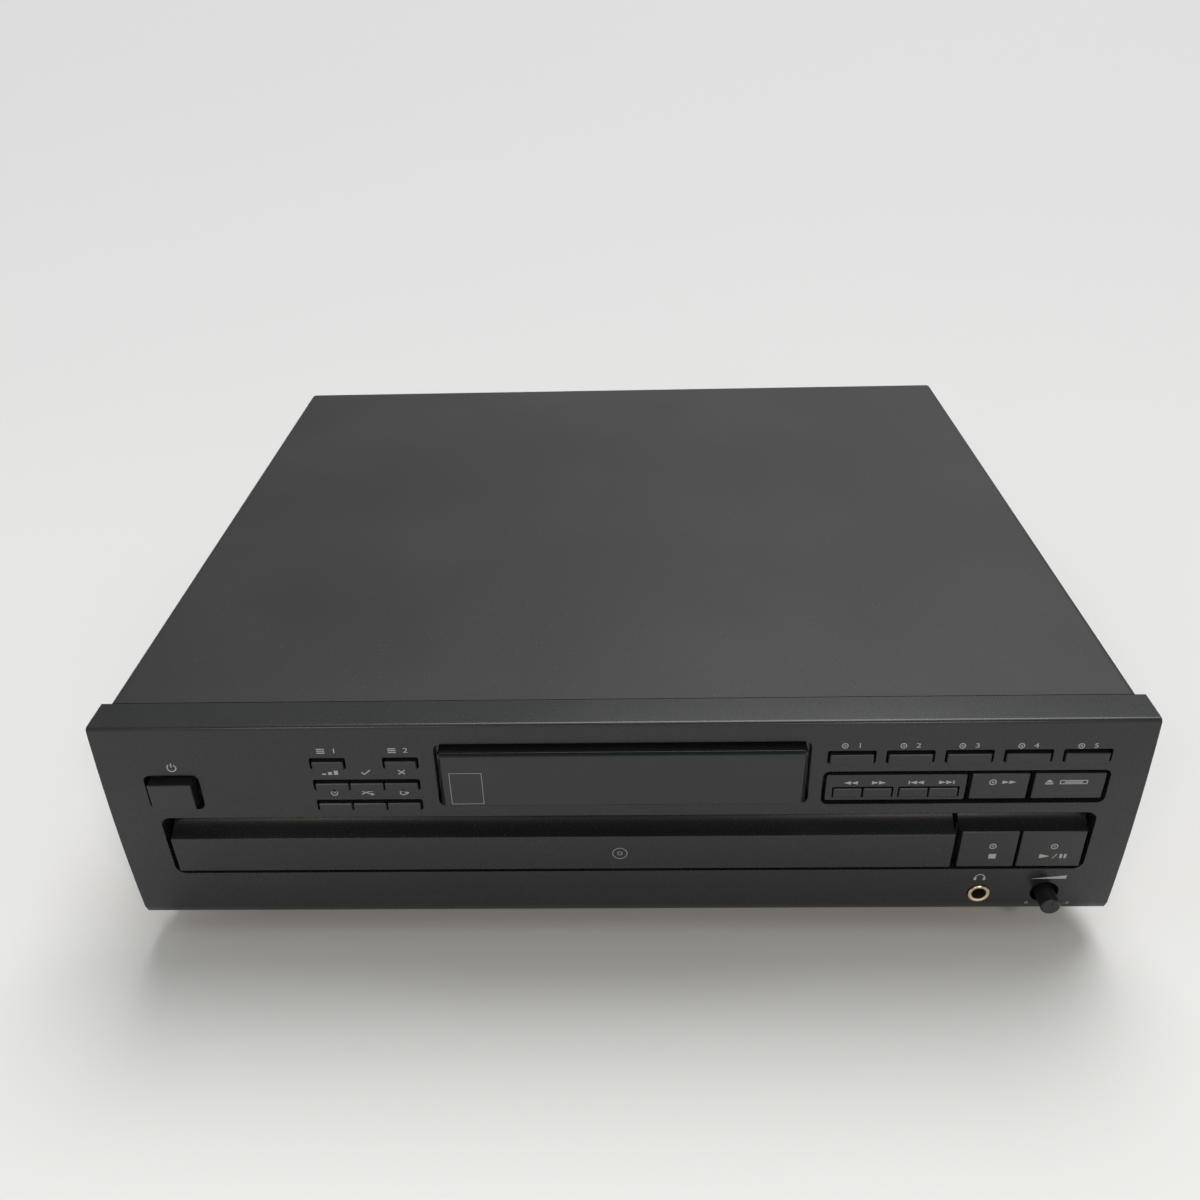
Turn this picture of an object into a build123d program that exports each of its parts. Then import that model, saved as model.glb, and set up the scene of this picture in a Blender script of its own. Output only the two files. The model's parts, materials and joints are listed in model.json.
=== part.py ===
from build123d import *

import os
from math import acos, cos, pi, radians, sin, tan

# A five-disc carousel player with a drawer that comes out through its front.
# Millimetres. X runs to the right, Y to the back and Z up. The origin is at the centre
# of the player's length and width, on the surface that its feet stand on.
# "Depth" is the distance behind the most forward line of the front.

os.makedirs("parts", exist_ok=True)

# ---------------------------------------------------------------- discs and carousel
disc_diameter = 120
disc_thickness = 1.2
well_count = 5
well_clearance = 0.4  # around a disc that lies in its well
well_wall = 1.0  # between two wells
well_depth = 5.5
shell = 2.0  # moulded walls of the carousel
carousel_rim = 1.6
hub_hole_radius = 20
lens_slot_width = 24
lens_slot_start = 37  # from the carousel's axis
spindle_radius = 6
gear_band = 5  # width of the ring that carries the gear teeth

well_radius = disc_diameter / 2 + well_clearance
well_centre_radius = (well_radius + well_wall / 2) / sin(pi / well_count)
carousel_radius = well_centre_radius + well_radius + carousel_rim

# ---------------------------------------------------------------- fits and clearances
running = 0.05  # a shaft in its bearing, on the radius
sliding = 0.4  # the drawer between its rails
seat_gap = 0.3  # a moving piece over what carries it
key_lip = 1.0  # how far a key's flange reaches behind its slot

# ---------------------------------------------------------------- drawer
tray_wall = 2.0
tray_floor = 2.0
carousel_gap = 0.8  # carousel to the drawer's side wall
drawer_lip = 3.1  # the drawer's front past the tray's side
drawer_front_wall = 2.5
drawer_travel = 205
tongue_width = 2.2
rail_wall = 4.0

tray_half = carousel_radius + carousel_gap + tray_wall
drawer_front_half = tray_half + drawer_lip

# ---------------------------------------------------------------- front, across
left_margin = 20.7
right_margin = 16.4
drawer_gap = 1.8  # dark joint round the drawer and the keys beside it
middle_gap = 2.8  # between the drawer and the stop key
key_split = 1.2
stop_width = 24.7
play_width = 27.6

opening_width = 2 * drawer_gap + 2 * drawer_front_half + middle_gap + stop_width + key_split + play_width
total_width = left_margin + opening_width + right_margin  # comes to 440
left_edge = -total_width / 2
right_edge = total_width / 2
opening_left = left_edge + left_margin
opening_right = right_edge - right_margin
drawer_x = opening_left + drawer_gap + drawer_front_half

# ---------------------------------------------------------------- heights
foot_height = 16
fascia_height = 108
face_bow = 1.85  # the front is gently convex from top to bottom
opening_rise = 26.5  # drawer opening above the fascia's lower edge
opening_height = 33.5
drawer_clearance = 1.5
rack_height = 4
gear_height = 4
gear_gap = 1.0
sheet = 1.2  # pressed steel

fascia_bottom = foot_height
fascia_top = fascia_bottom + fascia_height
face_mid = fascia_bottom + fascia_height / 2
opening_bottom = fascia_bottom + opening_rise
opening_top = opening_bottom + opening_height
rack_z = opening_bottom + drawer_clearance
tray_z = rack_z + rack_height
tray_top = tray_z + tray_floor
ring_z = tray_top + gear_gap
carousel_z = ring_z + gear_height
well_z = carousel_z + shell
deck_z = well_z + well_depth
chassis_z = foot_height + sheet

# ---------------------------------------------------------------- depths
fascia_depth = 19
fascia_wall = 3.0
cover_seam = 0.3
throat_depth = 12  # the collar behind the drawer opening
tray_front = 14
rail_front = 22
carousel_front_gap = 10.4  # carousel to the tray's front wall
rear_clearance = 22.4  # carousel to the cabinet's rear edge
rear_inset = 6  # rear panel inside the cover's rear edge
knob_reach = 8  # the level knob in front of the face
jack_reach = 4  # the output jacks behind the cover

carousel_depth = tray_front + tray_wall + carousel_front_gap + carousel_radius
cabinet_depth = carousel_depth + carousel_radius + rear_clearance  # comes to 380
face_y = knob_reach - (knob_reach + cabinet_depth + jack_reach) / 2
tray_rear = carousel_depth + carousel_radius + carousel_gap
rail_rear = tray_rear + 1.6
panel_depth = cabinet_depth - rear_inset

board_depth = 14.2  # front face of the board behind the fascia
board_thickness = 1.6
switch_height = 3.5
plunger_length = 1.2
key_travel = 0.8
power_travel = 3.0
stop_gap = 0.4  # behind a key that is pressed right in
switch_tip = board_depth - switch_height - plunger_length

cabinet = Plane(origin=(0, face_y, 0))  # X, depth and height


def front_plane(depth):
    """A plane that faces the user, for sketches in X and height."""
    return Plane(origin=(0, face_y + depth, 0), x_dir=(1, 0, 0), z_dir=(0, -1, 0))


def level_plane(height):
    """A level plane, for sketches in X and depth."""
    return Plane(origin=(0, face_y, height))


def side_plane(x):
    """A plane that faces right, for sketches in depth and height."""
    return Plane(origin=(x, face_y, 0), x_dir=(0, 1, 0), z_dir=(1, 0, 0))


def face_depth(z):
    """How far the convex front lies behind its most forward line at this height."""
    return face_bow * ((z - face_mid) / (fascia_height / 2)) ** 2


def block(x, y, z, mode=Mode.ADD):
    """A box between spans of X, depth and height."""
    with Locations(((x[0] + x[1]) / 2, (y[0] + y[1]) / 2, (z[0] + z[1]) / 2)):
        Box(x[1] - x[0], y[1] - y[0], z[1] - z[0], mode=mode)


def post(x, y, z, radius, mode=Mode.ADD):
    """An upright cylinder over a span of height."""
    with Locations((x, y, (z[0] + z[1]) / 2)):
        Cylinder(radius, z[1] - z[0], mode=mode)


def rod(x, y, z, radius, mode=Mode.ADD):
    """A cylinder that runs from front to back over a span of depth."""
    with Locations(Location((x, (y[0] + y[1]) / 2, z), (90, 0, 0))):
        Cylinder(radius, y[1] - y[0], mode=mode)


def cross_rod(x, y, z, radius, mode=Mode.ADD):
    """A cylinder that runs from left to right over a span of X."""
    with Locations(Location(((x[0] + x[1]) / 2, y, z), (0, 90, 0))):
        Cylinder(radius, x[1] - x[0], mode=mode)


# ---------------------------------------------------------------- gear teeth
pressure_angle = radians(20)
addendum = 0.7  # in modules, short enough for the small pinions
dedendum = 1.0


def gear_points(teeth, module, backlash, phase):
    """Corners of a spur gear's outline, with a tooth centred on the phase angle."""
    pitch_radius = teeth * module / 2
    base_radius = pitch_radius * cos(pressure_angle)
    half_tooth = pi / (2 * teeth) - backlash / (2 * pitch_radius)
    radii = (pitch_radius - dedendum * module, pitch_radius, pitch_radius + addendum * module)
    half_angles = []
    for radius in radii:
        roll = acos(min(1, base_radius / radius))
        involute = (tan(pressure_angle) - pressure_angle) - (tan(roll) - roll)
        half_angles.append(half_tooth + involute)
    points = []
    for tooth in range(teeth):
        centre = phase + 2 * pi * tooth / teeth
        rising = [(r, centre - a) for r, a in zip(radii, half_angles)]
        falling = [(r, centre + a) for r, a in zip(radii, half_angles)][::-1]
        points += [(r * cos(a), r * sin(a)) for r, a in rising + falling]
    return points


def gear_face(x, y, teeth, module, backlash, phase):
    """The outline of a spur gear, in the sketch that is open."""
    points = [(x + px, y + py) for px, py in gear_points(teeth, module, backlash, phase)]
    Polygon(*points, align=None)


# ================================================================ cabinet
cover_inset = 3
cover_bend = 3
side_flange = 22
cover_half = total_width / 2 - cover_inset
chassis_half = cover_half - sheet - 0.2
chassis_front = fascia_depth + cover_seam
screw_radius = 1.5
screw_head_radius = 4
screw_head = 2.2
screw_hole = screw_radius + 0.1
side_screw_z = foot_height + 14
side_screw_depths = (60, cabinet_depth - 50)
foot_radius = 21
foot_inset_x = 45
foot_depths = (45, cabinet_depth - 50)
foot_x = total_width / 2 - foot_inset_x
foot_places = [(side * foot_x, depth) for side in (-1, 1) for depth in foot_depths]

# The cover is a folded sheet: top and two sides.
with BuildPart(cabinet) as top_cover:
    with BuildSketch(front_plane(chassis_front)):
        cover_base = fascia_bottom + 0.5
        with Locations((0, (cover_base + fascia_top) / 2)):
            outer = Rectangle(2 * cover_half, fascia_top - cover_base)
        fillet(outer.vertices().group_by(Axis.Y)[-1], cover_bend)
        with Locations((0, (cover_base + fascia_top - sheet) / 2)):
            Rectangle(2 * (cover_half - sheet), fascia_top - sheet - cover_base, mode=Mode.SUBTRACT)
    extrude(amount=-(cabinet_depth - chassis_front))
    with BuildSketch(front_plane(chassis_front)):
        fold = fascia_top - sheet
        for side in (-1, 1):
            with BuildLine():
                corner = side * (cover_half - sheet)
                Polyline((corner, fold), (corner, fold - cover_bend + sheet), close=False)
                Line((corner, fold - cover_bend + sheet), (corner - side * (cover_bend - sheet), fold))
                Line((corner - side * (cover_bend - sheet), fold), (corner, fold))
            make_face()
    extrude(amount=-(cabinet_depth - chassis_front))
    for depth in side_screw_depths:
        cross_rod((-total_width / 2, total_width / 2), depth, side_screw_z, screw_hole, Mode.SUBTRACT)
top_cover.part.label = "top_cover"
export_step(top_cover.part, "parts/top_cover.step")

# The chassis is a tray of the same sheet, with a low front lip and board pillars.
bay_gap = 2.5  # between the drawer's rail and the boards
bay_left = drawer_x + tray_half + sliding + rail_wall + bay_gap
bay_right = chassis_half - sheet - 1.5
pillar_height = 8
main_board_z = chassis_z + pillar_height
main_board_front = 120
main_board_rear = panel_depth - sheet - 6
pillar_radius = 3
pillar_inset = 6
pillar_rear_inset = 26  # clear of the output jacks
pillars = [
    (x, y)
    for x in (bay_left + pillar_inset, bay_right - pillar_inset)
    for y in (main_board_front + pillar_inset, main_board_rear - pillar_rear_inset)
]
front_lip_height = 20
vent_slot = (30, 3)
vent_pitch = 12
vent_count = 6
vent_depth = main_board_front + 50
with BuildPart(cabinet) as bottom_chassis:
    block((-chassis_half, chassis_half), (chassis_front, panel_depth - sheet), (foot_height, chassis_z))
    for side in (-1, 1):
        edges = sorted((side * chassis_half, side * (chassis_half - sheet)))
        block(edges, (chassis_front, panel_depth - sheet), (foot_height, foot_height + side_flange))
    block(
        (sheet - chassis_half, bay_left),
        (chassis_front, chassis_front + sheet),
        (chassis_z, chassis_z + front_lip_height),
    )
    for x, y in pillars:
        post(x, y, (chassis_z, main_board_z), pillar_radius)
    with BuildSketch(level_plane(foot_height)):
        with Locations(((bay_left + bay_right) / 2, vent_depth)):
            with GridLocations(0, vent_pitch, 1, vent_count):
                SlotOverall(*vent_slot)
        with Locations(*foot_places):
            Circle(screw_hole)
    extrude(amount=sheet, mode=Mode.SUBTRACT)
    for depth in side_screw_depths:
        cross_rod((-total_width / 2, total_width / 2), depth, side_screw_z, screw_hole, Mode.SUBTRACT)
bottom_chassis.part.label = "bottom_chassis"
export_step(bottom_chassis.part, "parts/bottom_chassis.step")

# Four round feet, each a cup with a pad let into its lower face, and its screw.
pad_radius = 15
pad_thickness = 1.5
foot_taper = 2
foot_edge = 0.4
with BuildPart(cabinet) as feet:
    for x, y in foot_places:
        with BuildSketch(level_plane(pad_thickness)):
            with Locations((x, y)):
                Circle(foot_radius - foot_taper)
        with BuildSketch(level_plane(foot_height)):
            with Locations((x, y)):
                Circle(foot_radius)
        loft()
        post(x, y, (0, pad_thickness), pad_radius)
        post(x, y, (foot_height, chassis_z), screw_radius)
    chamfer(feet.edges().group_by(Axis.Z)[0], foot_edge)
feet.part.label = "feet"
export_step(feet.part, "parts/feet.step")

# Rear panel with its cut-outs, and what is fixed in them.
gland_inset = 42
gland_rise = 26
gland_x = left_edge + gland_inset
gland_z = foot_height + gland_rise
gland_body_radius = 6
gland_bore_radius = 3.2
jack_shell_radius = 4.15
jack_clearance = 1  # a plug's collar goes into the panel's hole
jack_spacing = 14
jack_rise = 8  # over the main board
output_x = (bay_left + bay_right) / 2
output_z = main_board_z + board_thickness + jack_rise
panel_top = fascia_top - sheet - 0.3
panel_half = chassis_half - sheet - 0.2
rear_screw_inset = 14
rear_screw_drop = 12
rear_screw_length = 7
rear_screws = [
    (side * (panel_half - rear_screw_inset), z)
    for side in (-1, 1)
    for z in (foot_height + rear_screw_inset, panel_top - rear_screw_drop)
]
rear_vent = (26, 2.5)
rear_vent_pitch = (32, 7)
rear_vent_drop = 22
with BuildPart(cabinet) as rear_panel:
    block((-panel_half, panel_half), (panel_depth - sheet, panel_depth), (chassis_z, panel_top))
    with BuildSketch(front_plane(panel_depth - sheet)):
        with Locations((gland_x, gland_z)):
            Circle(gland_body_radius + 0.2)
        with Locations((output_x - jack_spacing / 2, output_z), (output_x + jack_spacing / 2, output_z)):
            Circle(jack_shell_radius + jack_clearance)
        with Locations(*rear_screws):
            Circle(screw_hole)
        with Locations((-panel_half / 2, panel_top - rear_vent_drop)):
            with GridLocations(*rear_vent_pitch, 4, 3):
                SlotOverall(*rear_vent)
    extrude(amount=-sheet, mode=Mode.SUBTRACT)
rear_panel.part.label = "rear_panel"
export_step(rear_panel.part, "parts/rear_panel.step")

with BuildPart(cabinet) as case_screws:
    for side in (-1, 1):
        for depth in side_screw_depths:
            head = sorted((side * cover_half, side * (cover_half + screw_head)))
            shank = sorted((side * cover_half, side * (cover_half - rear_screw_length)))
            cross_rod(head, depth, side_screw_z, screw_head_radius)
            cross_rod(shank, depth, side_screw_z, screw_radius)
    for x, z in rear_screws:
        rod(x, (panel_depth, panel_depth + screw_head), z, screw_head_radius)
        rod(x, (panel_depth - rear_screw_length, panel_depth), z, screw_radius)
case_screws.part.label = "case_screws"
export_step(case_screws.part, "parts/case_screws.step")

gland_flange_radius = 8.5
gland_flange = 2
gland_reach = 7
gland_front = panel_depth - sheet - 7
gland_lip = 1.4
with BuildPart(cabinet) as cord_gland:
    rod(gland_x, (gland_front, panel_depth), gland_z, gland_body_radius)
    rod(gland_x, (panel_depth, panel_depth + gland_flange), gland_z, gland_flange_radius)
    with BuildSketch(front_plane(panel_depth + gland_flange)):
        with Locations((gland_x, gland_z)):
            Circle(gland_body_radius)
    with BuildSketch(front_plane(panel_depth + gland_reach)):
        with Locations((gland_x, gland_z)):
            Circle(gland_bore_radius + gland_lip)
    loft()
    rod(gland_x, (gland_front - 1, panel_depth + gland_reach + 1), gland_z, gland_bore_radius, Mode.SUBTRACT)
cord_gland.part.label = "cord_gland"
export_step(cord_gland.part, "parts/cord_gland.step")

jack_block = (30, 16, 15)
jack_pin_hole = 1.6
with BuildPart(cabinet) as output_jacks:
    jack_front = panel_depth - sheet - jack_block[1]
    block(
        (output_x - jack_block[0] / 2, output_x + jack_block[0] / 2),
        (jack_front, panel_depth - sheet),
        (main_board_z + board_thickness, main_board_z + board_thickness + jack_block[2]),
    )
    for x in (output_x - jack_spacing / 2, output_x + jack_spacing / 2):
        jack_span = (panel_depth - sheet, cabinet_depth + jack_reach)
        rod(x, jack_span, output_z, jack_shell_radius)
        rod(x, jack_span, output_z, jack_pin_hole, Mode.SUBTRACT)
output_jacks.part.label = "output_jacks"
export_step(output_jacks.part, "parts/output_jacks.step")

# ================================================================ boards
with BuildPart(cabinet) as main_board:
    block(
        (bay_left, bay_right),
        (main_board_front, main_board_rear),
        (main_board_z, main_board_z + board_thickness),
    )
main_board.part.label = "main_board"
export_step(main_board.part, "parts/main_board.step")

parts_z = main_board_z + board_thickness
bay_middle = (bay_left + bay_right) / 2
capacitor_row = main_board_front + 14
sink_row = main_board_front + 40
small_row = main_board_front + 92
chip_row = main_board_front + 120
converter_row = main_board_front + 165
big_capacitors = [(bay_middle - 20, capacitor_row), (bay_middle, capacitor_row)]
small_capacitors = [(bay_middle + 10 * n, small_row) for n in (-2, -1, 0, 1, 2)]
chips = [(bay_middle - 14, chip_row), (bay_middle + 10, chip_row), (bay_middle, converter_row)]
big_capacitor = (8, 30)  # radius and height
small_capacitor = (4, 12)
chip_size = (18, 26, 3.5)
fin_count = 6
fin_pitch = 6.8
fin_reach = 12
fin_thickness = 2
sink_plate = 3
sink_width = (fin_count - 1) * fin_pitch + fin_thickness
sink_height = 30
with BuildPart(cabinet) as board_parts:
    for places, (radius, height) in ((big_capacitors, big_capacitor), (small_capacitors, small_capacitor)):
        for x, y in places:
            post(x, y, (parts_z, parts_z + height), radius)
    for x, y in chips:
        with Locations((x, y, parts_z + chip_size[2] / 2)):
            Box(*chip_size)
    sink_x = (bay_middle - sink_width / 2, bay_middle + sink_width / 2)
    sink_span = (parts_z, parts_z + sink_height)
    block(sink_x, (sink_row, sink_row + sink_plate), sink_span)
    for fin in range(fin_count):
        x = sink_x[0] + fin * fin_pitch
        block((x, x + fin_thickness), (sink_row + sink_plate, sink_row + sink_plate + fin_reach), sink_span)
board_parts.part.label = "board_parts"
export_step(board_parts.part, "parts/board_parts.step")

# Transformer: a laminated core on two feet, with its winding through it.
core = (46, 34, 40)
core_leg = 10
foot_tab = 6
foot_tab_thickness = 2
winding_inset = 6
transformer_y = main_board_front - 36
with BuildPart(cabinet) as power_transformer:
    x_core = (bay_middle - core[0] / 2, bay_middle + core[0] / 2)
    y_core = (transformer_y - core[1] / 4, transformer_y + core[1] / 4)
    block(x_core, y_core, (chassis_z, chassis_z + core[2]))
    block(
        (x_core[0] + core_leg, x_core[1] - core_leg),
        (transformer_y - core[1] / 2, transformer_y + core[1] / 2),
        (chassis_z + winding_inset, chassis_z + core[2] - winding_inset),
    )
    tab_span = (chassis_z, chassis_z + foot_tab_thickness)
    block((x_core[0] - foot_tab, x_core[1] + foot_tab), y_core, tab_span)
power_transformer.part.label = "power_transformer"
export_step(power_transformer.part, "parts/power_transformer.step")

# ================================================================ fascia layout
# Key slots: X from the fascia's left or right edge, heights from its lower edge.
slot_gap = 0.9  # dark joint round a key in its slot
slot_corner = 0.8
key_gap = 0.5  # between two keys in one slot
display_left = left_edge + 143.5
display_gap = 5.6  # between the display and the key panel
display_rise = 66.2
display_height = 32.4
window_gap = 1.8
window_proud = 3.9
window_wall = 2.5
window_bevel = 1.7
window_corner = 2.0
window_lip = 1.5  # flange behind the fascia

power_left = left_edge + 18.5
power_width = 23.6
power_rise = 65.1
power_height = 18.4
power_gap = 2.4
power_proud = 3.5
power_floor = 6.5

edit_rise = 86.5
program_rise = 75.1
time_rise = 64.2
small_slot_height = 5.6
small_slot_width = 45.5
edit_slot_width = 15.1
program_left = left_edge + 90.8
edit_pitch = 30.8

disc_key_width = 19.9
disc_key_pitch = 24.1
disc_key_left = right_edge - 133.1
disc_key_rise = 87.4
disc_key_height = 6.3
small_proud = 0.7

panel_left = right_edge - 134.3
panel_width = 119
display_width = panel_left - display_gap - display_left
panel_rise = 65.5
panel_height = 17.5
panel_gap = 1.6  # dark joint below and beside what stands in the panel's opening
panel_split = 2.2  # and above it, and between its fixed face and its keys
panel_plate_depth = 6.0
plate_thickness = 1.5
search_slot_rise = 69.2
search_slot_height = 5.6
search_panel_width = 58.3
search_slot_width = 25.6
search_slot_inset = 2.8
search_slot_split = 2.0
disc_skip_width = 23.8
open_close_width = 29.4

phones_x = right_edge - 59
phones_z = fascia_bottom + 11.2
phones_ring_radius = 5.0
phones_bore_radius = 3.25
level_x = right_edge - 29.8
level_z = fascia_bottom + 11.4
level_hole_radius = 6.25
level_travel = 8.0

opening_corner = 4.5
recess_corner = 3.0
transport_rise = 28.3
transport_height = 20.7
scoop_start = 49.4
crease_rise = 47.5
scoop_slope = 5.3 / 6.0
scoop_hollow = 1.8  # how far the scoop is hollowed below its chord

# Slots that hold keys: left, width, rise and height of each.
slots = {
    "edit_1": (program_left, edit_slot_width, edit_rise, small_slot_height),
    "edit_2": (program_left + edit_pitch, edit_slot_width, edit_rise, small_slot_height),
    "program": (program_left, small_slot_width, program_rise, small_slot_height),
    "time": (program_left, small_slot_width, time_rise, small_slot_height),
}
for number in range(well_count):
    slots[f"disc_{number + 1}"] = (
        disc_key_left + number * disc_key_pitch,
        disc_key_width,
        disc_key_rise,
        disc_key_height,
    )


def opening_sketch(left, width, rise, height, corner):
    """A rounded opening, given from the fascia's lower edge."""
    with Locations((left + width / 2, fascia_bottom + rise + height / 2)):
        RectangleRounded(width, height, corner)


# The collars behind the large openings, which hide the inside from the front.
collars = {
    "drawer": (opening_left, opening_width, opening_rise, opening_height, opening_corner, throat_depth),
    "power": (power_left, power_width, power_rise, power_height, recess_corner, power_floor),
    "panel": (panel_left, panel_width, panel_rise, panel_height, recess_corner, panel_plate_depth),
}
collar_wall = 1.8
bevel_height = 4.4
bevel_back = 1.5
top_round = 2.0
fascia_side_wall = 2.5
boss_radius = 3
boss_drop = 9
boss_inset = 13
boss_places = [
    (x, fascia_top - boss_drop)
    for x in (left_edge + boss_inset, display_left - 8, panel_left - 0.6, right_edge - boss_inset)
]

with BuildPart(cabinet) as front_fascia:
    with BuildSketch(side_plane(0)):
        with BuildLine():
            low = fascia_bottom + bevel_height
            ThreePointArc((face_depth(low), low), (0, face_mid), (face_depth(fascia_top), fascia_top))
            Line((face_depth(fascia_top), fascia_top), (fascia_depth, fascia_top))
            Line((fascia_depth, fascia_top), (fascia_depth, fascia_bottom))
            Line((fascia_depth, fascia_bottom), (face_depth(low) + bevel_back, fascia_bottom))
            Line((face_depth(low) + bevel_back, fascia_bottom), (face_depth(low), low))
        make_face()
    extrude(amount=total_width / 2, both=True)
    fillet(front_fascia.edges().filter_by(Axis.X).group_by(Axis.Z)[-1].sort_by(Axis.Y)[0], top_round)
    with BuildSketch(side_plane(0)):
        with BuildLine():
            low = fascia_bottom + fascia_wall
            high = fascia_top - fascia_wall
            ThreePointArc(
                (face_depth(low) + fascia_wall, low),
                (fascia_wall, face_mid),
                (face_depth(high) + fascia_wall, high),
            )
            Line((face_depth(high) + fascia_wall, high), (fascia_depth, high))
            Line((fascia_depth, high), (fascia_depth, low))
            Line((fascia_depth, low), (face_depth(low) + fascia_wall, low))
        make_face()
    extrude(amount=total_width / 2 - fascia_side_wall, both=True, mode=Mode.SUBTRACT)
    for left, width, rise, height, corner, depth in collars.values():
        with BuildSketch(front_plane(depth)):
            opening_sketch(
                left - collar_wall,
                width + 2 * collar_wall,
                rise - collar_wall,
                height + 2 * collar_wall,
                corner + collar_wall,
            )
        extrude(amount=depth - face_bow)
    for x, z in boss_places:
        rod(x, (fascia_wall, board_depth), z, boss_radius)
    power_centre_x = power_left + power_width / 2
    power_centre_z = fascia_bottom + power_rise + power_height / 2
    with BuildSketch(front_plane(-1)):
        for left, width, rise, height, corner, depth in collars.values():
            opening_sketch(left, width, rise, height, corner)
        opening_sketch(display_left, display_width, display_rise, display_height, recess_corner)
        for left, width, rise, height in slots.values():
            opening_sketch(left, width, rise, height, slot_corner)
        with Locations((phones_x, phones_z)):
            Circle(phones_ring_radius + 0.1)
        with Locations((level_x, level_z)):
            Circle(level_hole_radius)
    extrude(amount=-(throat_depth + 2), mode=Mode.SUBTRACT)
    with BuildSketch(front_plane(power_floor)):
        opening_sketch(
            power_left - collar_wall,
            power_width + 2 * collar_wall,
            power_rise - collar_wall,
            power_height + 2 * collar_wall,
            recess_corner + collar_wall,
        )
        with Locations((power_centre_x, power_centre_z)):
            Rectangle(4.6, 4.6, mode=Mode.SUBTRACT)
    extrude(amount=-plate_thickness)
    rod(level_x, (fascia_wall, board_depth - 0.5), level_z, level_hole_radius + collar_wall)
    rod(level_x, (-1, board_depth), level_z, level_hole_radius, Mode.SUBTRACT)
front_fascia.part.label = "front_fascia"
export_step(front_fascia.part, "parts/front_fascia.step")

# ================================================================ display
window_left = display_left + window_gap
window_width = display_width - 2 * window_gap
window_rise = display_rise + window_gap
window_height = display_height - 2 * window_gap
window_flange_top = fascia_bottom + display_rise + display_height + window_lip
window_flange_depth = fascia_wall + face_depth(window_flange_top) + 0.02
with BuildPart(cabinet) as display_window:
    with BuildSketch(front_plane(-window_proud)):
        opening_sketch(window_left, window_width, window_rise, window_height, window_corner)
    extrude(amount=-(window_proud + window_flange_depth))
    chamfer(display_window.faces().sort_by(Axis.Y)[0].edges(), window_bevel)
    with BuildSketch(front_plane(window_flange_depth)):
        opening_sketch(
            display_left - window_lip,
            display_width + 2 * window_lip,
            display_rise - window_lip,
            display_height + 2 * window_lip,
            1.0,
        )
    extrude(amount=-1.2)
    with BuildSketch(front_plane(window_flange_depth + 1.2)):
        opening_sketch(
            window_left + window_wall,
            window_width - 2 * window_wall,
            window_rise + window_wall,
            window_height - 2 * window_wall,
            0.6,
        )
    extrude(amount=window_flange_depth + 1.2 + window_proud - 3.0, mode=Mode.SUBTRACT)
display_window.part.label = "display_window"
export_step(display_window.part, "parts/display_window.step")

tube_inset = 5
with BuildPart(cabinet) as display_tube:
    with BuildSketch(front_plane(board_depth)):
        opening_sketch(
            window_left + tube_inset,
            window_width - 2 * tube_inset,
            window_rise + 3.2,
            window_height - 6.4,
            1.0,
        )
    extrude(amount=8)
display_tube.part.label = "display_tube"
export_step(display_tube.part, "parts/display_tube.step")

# ================================================================ fixed inserts beside the keys
panel_x = panel_left + panel_gap
panel_face = face_depth(fascia_bottom + panel_rise + panel_height / 2)
search_left = panel_x + search_slot_inset
search_right = search_left + search_slot_width + search_slot_split
disc_skip_left = panel_x + search_panel_width + panel_split
open_close_left = panel_left + panel_width - panel_gap - open_close_width
panel_key_rise = panel_rise + panel_split
panel_key_height = panel_height - panel_split - panel_gap
play_left = opening_right - drawer_gap - play_width
stop_left = play_left - key_split - stop_width
insert_left = stop_left - key_split
stem_hole = 4.2
insert_inset = 1.4  # inside the opening's rounded corners
insert_right = opening_right - insert_inset
insert_back = 12.5
insert_top = opening_top - drawer_clearance

# Key places: left, width, rise, height, how proud, travel and what holds it.
small_lift = 0.3  # a narrow key over its slot's lower edge
slot_joint = 1.2  # a slot over its narrow key, in all
keys = {}


def small_key(name, left, width, rise, height):
    """A narrow key that a flange holds behind its slot."""
    keys[name] = (left, width, rise + small_lift, height, small_proud, key_travel, "flange")


def plate_key(name, left, width, rise, height):
    """A flat key in front of a plate."""
    keys[name] = (left, width, rise, height, 0.0, key_travel, "plate")


for number in (1, 2):
    left, width, rise, height = slots[f"edit_{number}"]
    small_key(f"edit_key_{number}", left + slot_gap, width - 2 * slot_gap, rise, height - slot_joint)
for row, names in (
    ("program", ("program_key", "check_key", "clear_key")),
    ("time", ("time_key", "random_key", "repeat_key")),
):
    left, width, rise, height = slots[row]
    pitch = (width - 2 * slot_gap + key_gap) / len(names)
    for column, name in enumerate(names):
        small_key(name, left + slot_gap + column * pitch, pitch - key_gap, rise, height - slot_joint)
for number in range(1, well_count + 1):
    left, width, rise, height = slots[f"disc_{number}"]
    small_key(f"disc_key_{number}", left + slot_gap, width - 2 * slot_gap, rise, height - slot_joint)
search_gap = 0.5
search_key_width = (search_slot_width - 2 * search_gap - key_gap) / 2
search_key_rise = search_slot_rise + small_lift
search_key_height = search_slot_height - search_gap - small_lift
for slot_left, names in (
    (search_left, ("search_back_key", "search_forward_key")),
    (search_right, ("skip_back_key", "skip_forward_key")),
):
    for column, name in enumerate(names):
        left = slot_left + search_gap + column * (search_key_width + key_gap)
        plate_key(name, left, search_key_width, search_key_rise, search_key_height)
plate_key("disc_skip_key", disc_skip_left, disc_skip_width, panel_key_rise, panel_key_height)
plate_key("open_close_key", open_close_left, open_close_width, panel_key_rise, panel_key_height)
plate_key("stop_key", stop_left, stop_width, transport_rise, transport_height)
plate_key("play_pause_key", play_left, play_width, transport_rise, transport_height)
keys["power_key"] = (
    power_left + power_gap,
    power_width - 2 * power_gap,
    power_rise + power_gap,
    power_height - 2 * power_gap,
    power_proud,
    power_travel,
    "stem",
)


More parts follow.
